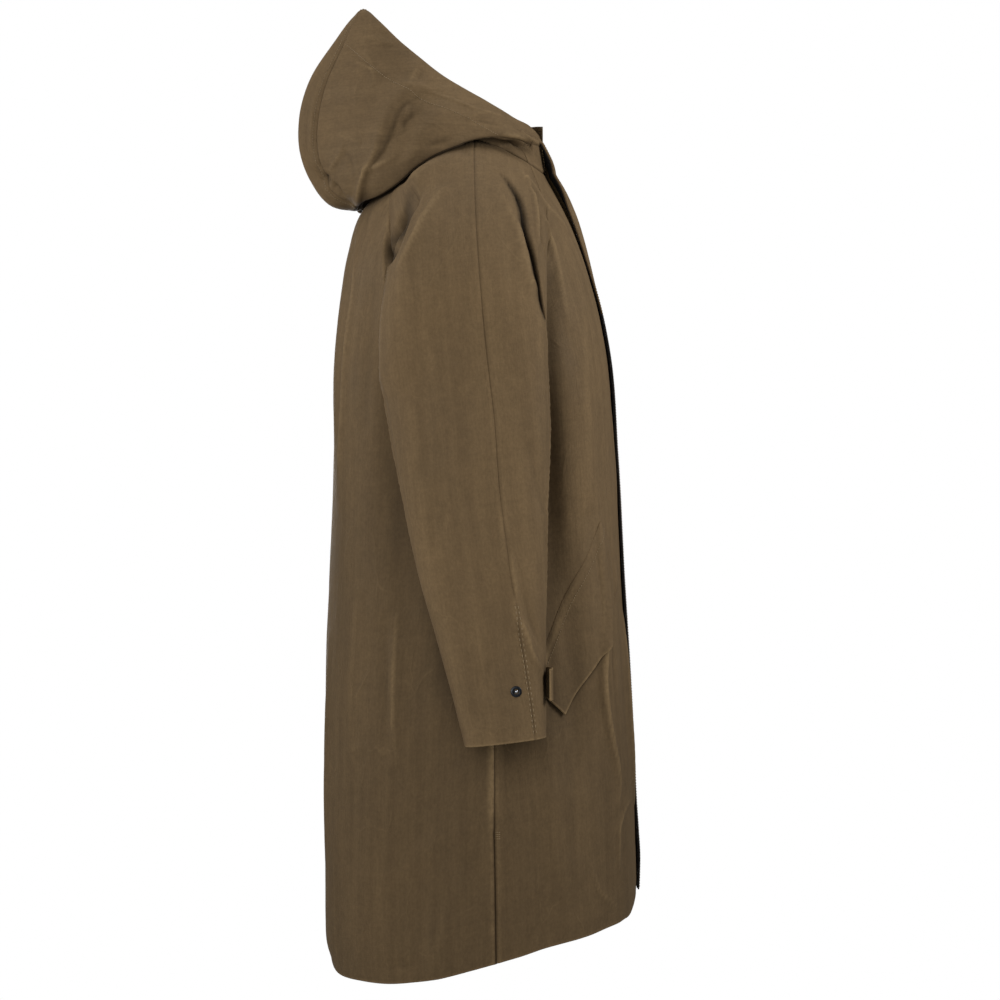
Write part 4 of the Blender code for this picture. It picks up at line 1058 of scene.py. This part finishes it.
for side in sides:
    bodies[side, "front"] = bodyHalf("front", side, frontAcross, frontFrom)
    bodies[side, "back"] = bodyHalf("back", side, backSteps, np.zeros(len(backSteps)))
    for half in ("front", "back"):
        sleeves[side, half] = sleeveHalf(half, side, bodies[side, half])
        name = f"sleeve_{half}_{side}"
        panels[name] = makePanel(name, sleeves[side, half], insideOf("sleeve", side))
        panels[name]["middleColumn"], panels[name]["baseRow"] = -1, -1
    panels[f"front_{side}"] = makePanel(f"front_{side}", bodies[side, "front"], insides["body"])
back = np.concatenate([bodies["right", "back"][:, ::-1], bodies["left", "back"][:, 1:]], axis=1)
panels["back"] = makePanel("back", back, insides["body"])
panels["back"]["middleColumn"] = len(backSteps) - 1


def neckHalf(side):  # the neck seam from the stand's front edge to the centre back
    frontTop = bodies[side, "front"][-1, len(zipColumns):]
    neckFrom = len(upperSteps)
    sleeveFront = sleeves[side, "front"][0, neckFrom:]
    sleeveBack = sleeves[side, "back"][0, neckFrom - 1:-1][::-1]
    return np.concatenate([frontTop, sleeveFront, sleeveBack, bodies[side, "back"][-1, :-1][::-1]])


strip = centreStrip()
panels["hood_centre_strip"] = makePanel("hood_centre_strip", strip, insides["hood"])
panels["hood_centre_strip"]["middleColumn"] = len(stripShares) - 1
necks = {side: neckHalf(side) for side in sides}
hoodColumns = len(necks["right"]) - (len(stripShares) - 1)
spacing = hoodSpacing(necks["right"][:hoodColumns])
rolls = {}
for side in sides:
    points = hoodSide(side, spacing)
    panels[f"hood_side_{side}"] = makePanel(f"hood_side_{side}", points, insides["hood"])
    panels[f"hood_side_{side}"]["flat"] = points[..., [2, 1]]  # cut with the warp from front to back
    under = strip[-1][1:len(stripShares)] if side == "right" else strip[-1][len(stripShares) - 1:-1][::-1]
    rolls[side] = np.concatenate([points[-1], under])
neckLine = np.concatenate([necks["right"], necks["left"][:-1][::-1]])
rollLine = np.concatenate([rolls["right"], rolls["left"][:-1][::-1]])
panels["hood_neck_stand"] = makePanel("hood_neck_stand", neckStand(neckLine, rollLine), insides["stand"])
shareSeamNormals(list(panels.values()))
print("panels:", {name: panel["points"].shape[:2] for name, panel in panels.items()})

# Folds, seams and edges
for group, starts in creasePanels.items():
    addCreases([panel for name, panel in panels.items() if name.startswith(starts)], group)


def belowArm(panel):  # the side seams are pressed deeper than the others
    return ease(coatBody["underarm"] + 10, coatBody["underarm"] - 60, panel["points"][..., 2])


def belowPeak(panel):  # the strip's seams are flat near the peak
    return ease(165, 118, panel["points"][..., 2])


def everywhere(panel):
    return 1.0


# Seams to press: start of the panels' names, edge, rise of the welt, depth of the groove, and where
seamRows = (
    ("sleeve", "firstRow", 0.5, 1.1, everywhere),
    ("sleeve", "lastColumn", 0.35, 0.7, everywhere),
    ("sleeve", "firstColumn", 0.4, 1.1, everywhere),
    ("front", "lastColumn", 0.5, 1.1, everywhere),
    ("front", "lastColumn", 0.2, 1.8, belowArm),
    ("front", "lastRow", 0.4, 1.1, everywhere),
    ("back", "firstColumn", 0.6, 1.1, everywhere),
    ("back", "lastColumn", 0.6, 1.1, everywhere),
    ("back", "firstColumn", 0.2, 1.8, belowArm),
    ("back", "lastColumn", 0.2, 1.8, belowArm),
    ("back", "lastRow", 0.4, 1.1, everywhere),
    ("hood_side", "lastColumn", 0.15, 0.55, belowPeak),
    ("hood_side", "lastRow", 0.2, 0.5, everywhere),
    ("hood_centre_strip", "firstColumn", 0.25, 0.55, belowPeak),
    ("hood_centre_strip", "lastColumn", 0.25, 0.55, belowPeak),
    ("hood_centre_strip", "lastRow", 0.2, 0.5, everywhere),
    ("hood_neck_stand", "firstRow", 0.5, 1.1, everywhere),
    ("hood_neck_stand", "lastRow", 0.2, 0.5, everywhere),
)
for name, panel in panels.items():
    soften(panel, softShare["hood"] if name.startswith("hood") else 1.0)
    for start, edge, welt, depth, where in seamRows:
        if name.startswith(start):
            pressSeam(panel, edge, welt, depth, where(panel))
    if name.startswith("sleeve"):
        panel["wearAndShade"] += hemForm["cuffRub"] * bell(edgeDistance(panel, "lastRow"), hemForm["cuffRubWidth"])
    if name.startswith(("front", "back")):
        middle = ease(*hemForm["backMiddle"], np.abs(panel["points"][..., 0])) if name == "back" else 0.0
        turnHem(panel, "firstRow", hemForm["depth"] + hemForm["backDeeper"] * middle)
for name, panel in panels.items():
    sew(panel, name, clothWall)
print("cloth panels sewn:", len(panels))

# Fly on the left front, lapping left over right: height over the fronts and bend of its free edge
fly = {
    "wall": 2.0,
    "facingWall": 1.0,
    "edges": (38.0, -32.0),
    "top": 6.0,
    "low": -957.0,
    "sewn": 1.5,  # its underside against the left front's wall
    "sewnTo": 10.0,  # x from which it stands off in full
    "leanBack": 5.0,  # at the neck its sewn half meets the stand
    "leanFrom": -45.0,
    "leanAcross": (-8.0, 12.0),
    "curlFrom": -12.0,
    # height, how far it stands off the fronts there, and how far its free edge curls out
    "lift": (
        (6, -2.3, 0), (-5, 3.4, 0), (-19, 10, 0), (-45, 14.5, -1), (-82, 14, -6), (-117, 10.5, -5),
        (-136, 8.5, -4), (-165, 6, -2), (-200, 4.4, 0.5), (-400, 4.2, 0.4), (-720, 4.2, 0.4), (-800, 3.6, 0),
        (-842, 3.4, 0.2), (-880, 3.6, 1.4), (-914, 3.8, 2.2), (-940, 3.6, 1.2), (-962, 3.4, 0),
    ),
    "blackEdgeFrom": -215.0,  # below this height the facing rolls out to the free edge
    "blackEdgeWidth": 2.0,
    "facingFrom": 24.0,
    "gap": 0.3,
}
flyLift = smoothTable(fly["lift"])


def flyPoints():
    x = fly["edges"][0] + (fly["edges"][1] - fly["edges"][0]) * gridSteps(16, 70, atStart=True, atEnd=True)
    z = (fly["low"] + (fly["top"] - fly["low"]) * gridSteps(170, 964, atStart=True, atEnd=True))[:, None]
    onFront = np.minimum(z, coatBody["neckCentre"]["front"]) + 0 * x
    share = shareAtX(onFront, x)
    halves = {side: bodyPoint("front", side, share, onFront)[..., 1] for side in sides}
    y = np.where(x > 0, halves["left"], halves["right"])
    lift, curl = flyLift(z + 0 * x)
    lift = fly["sewn"] + (lift - fly["sewn"]) * ease(fly["edges"][0], fly["sewnTo"], x)
    lean = fly["leanBack"] * ease(fly["leanFrom"], 0, z) * ease(*fly["leanAcross"], x)
    curl = curl * ease(fly["curlFrom"], fly["edges"][1], x)
    return np.stack([x + 0 * z, y + lean - lift - curl, z + 0 * x], -1)


panels["front_fly"] = makePanel("front_fly", flyPoints(), insides["body"])
flyPanel = panels["front_fly"]
soften(flyPanel, softShare["fly"])
flyPiece = sew(flyPanel, "front_fly", fly["wall"])
flyPiece.data.materials.append(paints["twill"])
for face in flyPiece.data.polygons:  # the black facing shows along the low part of the free edge
    onEdge = face.normal.x < -0.8 and face.center.x < (fly["edges"][1] + fly["blackEdgeWidth"]) * mm
    if onEdge and face.center.z < fly["blackEdgeFrom"] * mm:
        face.material_index = 1
underFly = surface(flyPanel) - (fly["facingWall"] + fly["gap"]) * flyPanel["normals"]
keptColumns = flyPanel["points"][0, :, 0] <= fly["facingFrom"]
panels["fly_facing"] = makePanel("fly_facing", underFly[1:-1, keptColumns][:, :-1], insides["body"])
sew(panels["fly_facing"], "fly_facing", fly["facingWall"], "twill")
print("fly and facing sewn")

# Things that lie on a panel are seated on its own finished surface
seatFrom = 40.0  # mm out from the cloth, where the search for it starts


def clothTree(names):
    points, faces = [], []
    for name in names:
        grid = surface(panels[name])
        base = sum(len(p) for p in points)
        faces += (gridFaces(*grid.shape[:2], False) + base).tolist()
        points.append(grid.reshape(-1, 3))
    return BVHTree.FromPolygons(np.concatenate(points).tolist(), faces)


def seated(tree, point, out, height):
    hit = tree.ray_cast(Vector(point + seatFrom * out), Vector(-out), 2 * seatFrom)[0]
    base = np.array(hit) if hit is not None else np.array(tree.find_nearest(Vector(point))[0])
    return base + height * out


# Slanted pocket flap, in girth from the centre front and height
flap = {
    "wall": 2.0,
    "corner": (224.0, -721.0),  # low end of the free edge
    "length": 235.0,
    "widths": (62.0, 96.0),  # at the low end and the front end
    "slant": 49.0,
    "standOff": 2.64,  # of the free edge, at the low end
    "sewn": -0.1,  # its underside against the front's wall
    "clear": 1.9,
    "weltAt": 6.5,
    "weltWidth": 2.8,
    "weltRise": 0.7,
    "stitchAt": 12.5,
    "stitchWidth": 1.4,
    "stitchRise": 0.3,
    "stitchRub": 0.5,
    "weltFade": (0.12, 0.55),  # shares of its length from the front end
    "rimWidth": 2.2,
    # a fold of the front that it lies over
    "ridge": ((-149, -470), (-151, -530), (-155, -575), (-157, -620), (-154, -650)),
    "ridgeSize": 2.6,
}


def shareAtGirth(z, girth):
    shares = np.linspace(0, 1, 160)
    ring = bodyPoint("front", "", shares, np.full(160, z))
    return float(np.interp(girth, runLength(ring), shares))


def flapPoints(side):
    tree = clothTree([f"front_{side}"])
    slant = math.radians(flap["slant"])
    upFront = np.array([-math.cos(slant), math.sin(slant)])
    upBack = np.array([math.sin(slant), math.cos(slant)])
    rows, flat = [], []
    for w in gridSteps(26, flap["widths"][0], atStart=True, atEnd=True):  # sewn edge to free edge
        row, flatRow = [], []
        for s in 1 - gridSteps(70, flap["length"], atStart=True, atEnd=True):  # front end to back end
            width = flap["widths"][0] + (flap["widths"][1] - flap["widths"][0]) * s
            girth, z = np.array(flap["corner"]) + upFront * flap["length"] * s + upBack * width * (1 - w)
            share = shareAtGirth(z, girth)
            first, second = bodyPoint("front", "", np.array([share, share + 0.01]), np.array([z, z]))
            out = unit(np.array([second[1] - first[1], first[0] - second[0], 0.0]))
            risen = ease(0, 0.2, w) * ease(1.0, 0.9, s)  # sunk along the sewn edge and the front end
            height = flap["sewn"] + (flap["clear"] - flap["sewn"]) * risen
            height = height + flap["standOff"] * w**2 * (1 - s)
            row.append(seated(tree, mirrored(first, side), mirrored(out, side), height))
            flatRow.append((girth, z))
        rows.append(row)
        flat.append(flatRow)
    return np.array(rows), np.array(flat)


def weltFlap(panel):  # a soft welt along the sewn edge, a thin line of stitching inside it, a worn free edge
    away = edgeDistance(panel, "firstRow")
    back = ease(*flap["weltFade"], edgeDistance(panel, "firstColumn") / flap["length"])
    welt = bell(away - flap["weltAt"], flap["weltWidth"]) * back
    line = bell(away - flap["stitchAt"], flap["stitchWidth"]) * back
    rim = sum(bell(edgeDistance(panel, edge), flap["rimWidth"]) for edge in ("lastRow", "lastColumn"))
    panel["height"] += flap["weltRise"] * welt + flap["stitchRise"] * line
    panel["wearAndShade"] += flap["weltRise"] * welt + flap["stitchRub"] * line + rim * back


# Cuff tab: a strap round the front edge of the cuff, and the press stud on the outer side
cuffTab = {
    "wall": 2.0,
    "z": (-665.0, -705.0),
    "turns": (28.0, 110.0),  # degrees round the sleeve
    "standOff": 5.6,
    "standFrom": (0.25, 0.75),  # shares of its length
    "clear": 1.0,
    "rubWidth": 1.8,
}
cuffStud = {
    "at": (-45.0, -684.0),  # y and z
    "radius": 6.8,
    "height": 2.6,
    "rim": 1.0,
    "crown": 0.4,  # rise inside the rim
    "socket": 3.3,
    "socketDepth": 1.6,
    "rounding": 0.4,
    "spring": 2.2,
    "springSunk": 1.0,
    "seat": 0.16,  # its base over the inner face of the cloth
}


def tabPoints(side):
    top, low = cuffTab["z"]
    z = top + (low - top) * gridSteps(8, 41, atStart=True, atEnd=True)[:, None]
    s = gridSteps(30, 130, atStart=True, atEnd=True)
    turn = cuffTab["turns"][0] + (cuffTab["turns"][1] - cuffTab["turns"][0]) * s + 0 * z
    point = sleevePoint(z + 0 * turn, turn)
    step = sleevePoint(z + 0 * turn, turn + 1) - point
    out = unit(np.stack([step[..., 1], -step[..., 0], 0 * turn], -1))
    height = cuffTab["clear"] + cuffTab["wall"] + cuffTab["standOff"] * ease(*cuffTab["standFrom"], s)
    return mirrored(point + out * (height + 0 * turn)[..., None], side)


for side in sides:
    points, flat = flapPoints(side)
    flapPanel = makePanel(f"pocket_flap_{side}", points, insides["flap"])
    flapPanel["flat"] = flat
    weltFlap(flapPanel)
    ridge = lineOn([flapPanel], side, flap["ridge"])
    layCrease([flapPanel], side, ridge, flap["ridgeSize"], flap["ridgeSize"], 0)
    tabPanel = makePanel(f"cuff_tab_{side}", tabPoints(side), insideOf("tab", side))
    for edge in ("firstRow", "lastRow", "lastColumn"):
        tabPanel["wearAndShade"] += bell(edgeDistance(tabPanel, edge), cuffTab["rubWidth"])
    for panel, wall in ((flapPanel, flap["wall"]), (tabPanel, cuffTab["wall"])):
        panels[panel["name"]] = panel
        sew(panel, panel["name"], wall)
print("flaps and cuff tabs sewn")
addShade(panels)
print("shade laid")

# Stitches: one short capsule, repeated along a line on the cloth
stitch = {"pitch": 3.6, "length": 2.6, "radius": 0.42}
cuffDash = {  # coarser on the low end of the sleeve's top seam
    "pitch": 6.6, "length": 4.0, "radius": 0.62, "below": -575.0, "inside": 1.9,
}
bartack = {  # a short bar of stitches across each side seam
    "pitch": 2.4, "length": 2.2, "radius": 0.5, "points": 9,
    "y": (-16.0, -28.0), "z": (-862.5, -865.1, -867.7, -870.3),
}
capsule = {
    "sides": 5,
    "profile": ((-0.5, 0.25), (-0.28, 1.0), (0.28, 1.0), (0.5, 0.25)),  # shares of length and radius
    "middleUp": 0.55,  # shares of the radius that the middle stands out and the ends sink in
    "endsUp": -0.5,
    "ahead": 0.6,  # mm, to find the way that it runs
}


def lineInside(panel, edge, away):  # points and ways out along a line at a distance from an edge
    distance, normals = edgeDistance(panel, edge), panel["normals"]
    grid = surface(panel) + panel["wall"] * normals
    if edge in ("firstColumn", "lastColumn"):
        distance, grid, normals = distance.T, grid.transpose(1, 0, 2), normals.transpose(1, 0, 2)
    if edge in ("lastRow", "lastColumn"):
        distance, grid, normals = distance[::-1], grid[::-1], normals[::-1]
    reached = [k for k in range(grid.shape[1]) if distance[-1, k] > away]
    line = np.array([readAt(away, distance[:, k], grid[:, k]) for k in reached])
    out = np.array([readAt(away, distance[:, k], normals[:, k]) for k in reached])
    return line, unit(out)


def stitchMesh(name, lines, form):
    n, pitch, radius = capsule["sides"], form["pitch"], form["radius"]
    ring = np.linspace(0, 2 * np.pi, n, endpoint=False)
    points, faces = [], []
    for line, out in lines:
        length = runLength(line)
        at = np.arange(pitch, length[-1] - pitch, pitch)
        place, up = readAt(at, length, line), unit(readAt(at, length, out))
        run = unit(readAt(at + capsule["ahead"], length, line) - place)
        across = np.cross(run, up)
        for p, r, a, u in zip(place, run, across, up):
            base = len(points)
            for x, share in capsule["profile"]:
                rise = capsule["middleUp" if share == 1 else "endsUp"] * radius
                middle = p + r * x * form["length"] + u * rise
                points += [middle + share * radius * (math.cos(t) * a + math.sin(t) * u) for t in ring]
            for low in range(base, base + 3 * n, n):
                faces += [(low + i, low + (i + 1) % n, low + n + (i + 1) % n, low + n + i) for i in range(n)]
            faces += [tuple(base + i for i in reversed(range(n))), tuple(base + 3 * n + i for i in range(n))]
    piece = newMesh(name, np.array(points) * mm, faces, paints["thread"])
    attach(piece, "root")
    return piece


# Rows of stitching: panel, edge and distance from it in mm
stitchRows = [
    ("hood_centre_strip", "firstColumn", 6.0), ("hood_centre_strip", "lastColumn", 6.0),
    ("hood_neck_stand", "firstColumn", 4.0), ("hood_neck_stand", "lastColumn", 4.0),
    ("front_fly", "firstColumn", 3.0), ("front_fly", "lastColumn", 6.0),
]
for side in sides:
    stitchRows.append((f"hood_side_{side}", "firstRow", hood["facing"]))
    stitchRows.append((f"pocket_flap_{side}", "firstRow", flap["stitchAt"]))
stitched = {}
for name, edge, away in stitchRows:
    stitched.setdefault(name, []).append(lineInside(panels[name], edge, away))
stitchPieces = {name: [stitchMesh(name + "_stitching", lines, stitch)] for name, lines in stitched.items()}
for side in sides:
    for name in (f"sleeve_front_{side}", f"sleeve_back_{side}"):
        line, out = lineInside(panels[name], "lastColumn", cuffDash["inside"])
        low = line[:, 2] < cuffDash["below"]
        stitchPieces[name] = [stitchMesh(name + "_cuff_stitching", [(line[low], out[low])], cuffDash)]
for side in sides:
    tree = clothTree(["back", f"front_{side}"])
    way = mirrored((1.0, 0, 0), side)
    lines = []
    for z in bartack["z"]:
        across = np.linspace(*bartack["y"], bartack["points"])
        row = [mirrored((coatBody["rings"][-1][1], y, z), side) for y in across]
        row = np.array([seated(tree, point, way, panels["back"]["wall"]) for point in row])
        lines.append((row, np.array([way] * len(row))))
    stitchPieces[f"front_{side}"] = [stitchMesh(f"front_{side}_bartack", lines, bartack)]
stitchPoints = sum(len(piece.data.vertices) for row in stitchPieces.values() for piece in row)
print("stitches:", stitchPoints // (4 * capsule["sides"]))


def addStud(side):  # a turned ring with a bright spring in its socket
    tree = clothTree([f"sleeve_front_{side}", f"sleeve_back_{side}"])
    y, z = cuffStud["at"]
    way = Vector((sides[side], 0, 0))
    place, normal = tree.ray_cast(Vector((sides[side] * 500, y, z)), -way)[:2]
    normal = normal if normal.dot(way) > 0 else -normal
    radius, height = cuffStud["radius"] * mm, cuffStud["height"] * mm
    bpy.ops.mesh.primitive_cylinder_add(vertices=48, radius=radius, depth=height, location=(0, 0, height / 2))
    ring = bpy.context.object
    ring.name = f"cuff_stud_{side}_ring"
    ring.data.name = ring.name
    bpy.ops.object.mode_set(mode="EDIT")
    bpy.ops.mesh.select_all(action="DESELECT")
    bpy.ops.object.mode_set(mode="OBJECT")
    top = max(ring.data.polygons, key=lambda face: face.center.z)
    top.select = True
    bpy.ops.object.mode_set(mode="EDIT")
    bpy.ops.mesh.inset(thickness=cuffStud["rim"] * mm)
    bpy.ops.transform.translate(value=(0, 0, cuffStud["crown"] * mm))
    bpy.ops.mesh.inset(thickness=radius - (cuffStud["socket"] + cuffStud["rim"]) * mm)
    bpy.ops.mesh.extrude_region_move(TRANSFORM_OT_translate={"value": (0, 0, -cuffStud["socketDepth"] * mm)})
    bpy.ops.object.mode_set(mode="OBJECT")
    soft = ring.modifiers.new("rounded", "BEVEL")
    soft.width, soft.segments, soft.limit_method = cuffStud["rounding"] * mm, 3, "ANGLE"
    applyModifiers(ring)
    ring.data.materials.append(paints["studBlack"])
    middle, size = (0, 0, height - cuffStud["springSunk"] * mm), cuffStud["spring"] * mm
    bpy.ops.mesh.primitive_uv_sphere_add(segments=24, ring_count=12, radius=size, location=middle)
    spring = bpy.context.object
    spring.name = f"cuff_stud_{side}_spring"
    spring.data.name = spring.name
    spring.data.materials.append(paints["studBright"])
    turn = normal.to_track_quat("Z", "Y").to_matrix().to_4x4()
    seat = (place + normal * cuffStud["seat"]) * mm
    for piece in (ring, spring):
        piece.select_set(False)
        piece.data.transform(piece.matrix_world)
        piece.location = (0, 0, 0)
        piece.data.transform(turn)
        for vertex in piece.data.vertices:
            vertex.co += seat
        piece.data.shade_smooth()
        piece.data.set_sharp_from_angle(angle=math.radians(35))
        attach(piece, "root")
    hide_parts(f"cuff_stud_{side}")


for side in sides:
    addStud(side)
print("press studs set")

# Work out the size that each piece was cut to; nothing is kept from it
for name, panel in panels.items():
    declare(panel, stitchPieces.get(name, []))

# Studio: pale floor well below the hem, soft light, camera at the side
studio = {
    "eye": (-4.0, -0.026, -0.455),
    "viewHeight": 1.3,  # metres in view at the coat's middle
    "floor": -1.45,
    "floorSize": 4.0,
    "floorColour": "#d2d2ce",
    "floorRoughness": 0.9,
    "worldLight": 0.12,
    "aim": (0.0, 0.0, -0.4),
    "spread": 130.0,  # degrees; a grid keeps each softbox off the hem
    # softboxes: place, size in metres, power in watts
    "lights": {
        "key": ((-1.9, 0.4, -0.3), 1.2, 12.0),
        "top": ((0.0, 0.15, 1.3), 1.0, 6.5),
        "front": ((-0.35, -1.8, 0.4), 0.9, 16.0),
        "rim": ((0.1, 2.0, 0.2), 1.0, 12.0),
        "far": ((1.9, 0.4, -0.3), 1.2, 12.0),
    },
}


def addStudio():
    camera = bpy.data.cameras.new("camera")
    eye = bpy.data.objects.new("camera", camera)
    eye.location = studio["eye"]
    eye.rotation_euler = (math.radians(90), 0, math.radians(-90))
    camera.angle = 2 * math.atan(studio["viewHeight"] / 2 / -studio["eye"][0])
    bpy.context.scene.collection.objects.link(eye)
    bpy.context.scene.camera = eye
    for name, (place, size, power) in studio["lights"].items():
        lamp = bpy.data.lights.new(name, "AREA")
        lamp.shape, lamp.size, lamp.energy, lamp.spread = "DISK", size, power, math.radians(studio["spread"])
        light = bpy.data.objects.new(name, lamp)
        light.location = place
        light.rotation_euler = (Vector(studio["aim"]) - Vector(place)).to_track_quat("-Z", "Y").to_euler()
        light.visible_camera = False
        bpy.context.scene.collection.objects.link(light)
    place, radius = (0, 0, studio["floor"]), studio["floorSize"] / 2
    bpy.ops.mesh.primitive_circle_add(vertices=96, radius=radius, fill_type="NGON", location=place)
    floor = bpy.context.object
    floor.name = "floor"
    material, tree, shader = newMaterial("matt_white_paint")
    shader.inputs["Base Color"].default_value = linear(studio["floorColour"])
    shader.inputs["Roughness"].default_value = studio["floorRoughness"]
    floor.data.materials.append(material)
    floor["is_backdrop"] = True
    world = bpy.data.worlds.new("studio")
    world.use_nodes = True
    bpy.context.scene.world = world
    tree = world.node_tree
    shade = tree.nodes["Background"]
    seen = addNode(tree, "ShaderNodeLightPath").outputs["Is Camera Ray"]
    shade.inputs["Color"].default_value = (1, 1, 1, 1)
    ends = {"Value": seen, "To Min": studio["worldLight"], "To Max": 1.0}
    strength = addNode(tree, "ShaderNodeMapRange", (), ends)
    tree.links.new(strength.outputs["Result"], shade.inputs["Strength"])
    bpy.context.scene.view_settings.view_transform = "Standard"


addStudio()
print("studio set")

low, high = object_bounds()
print("visual box:", [round(v, 3) for v in (*low, *high)])
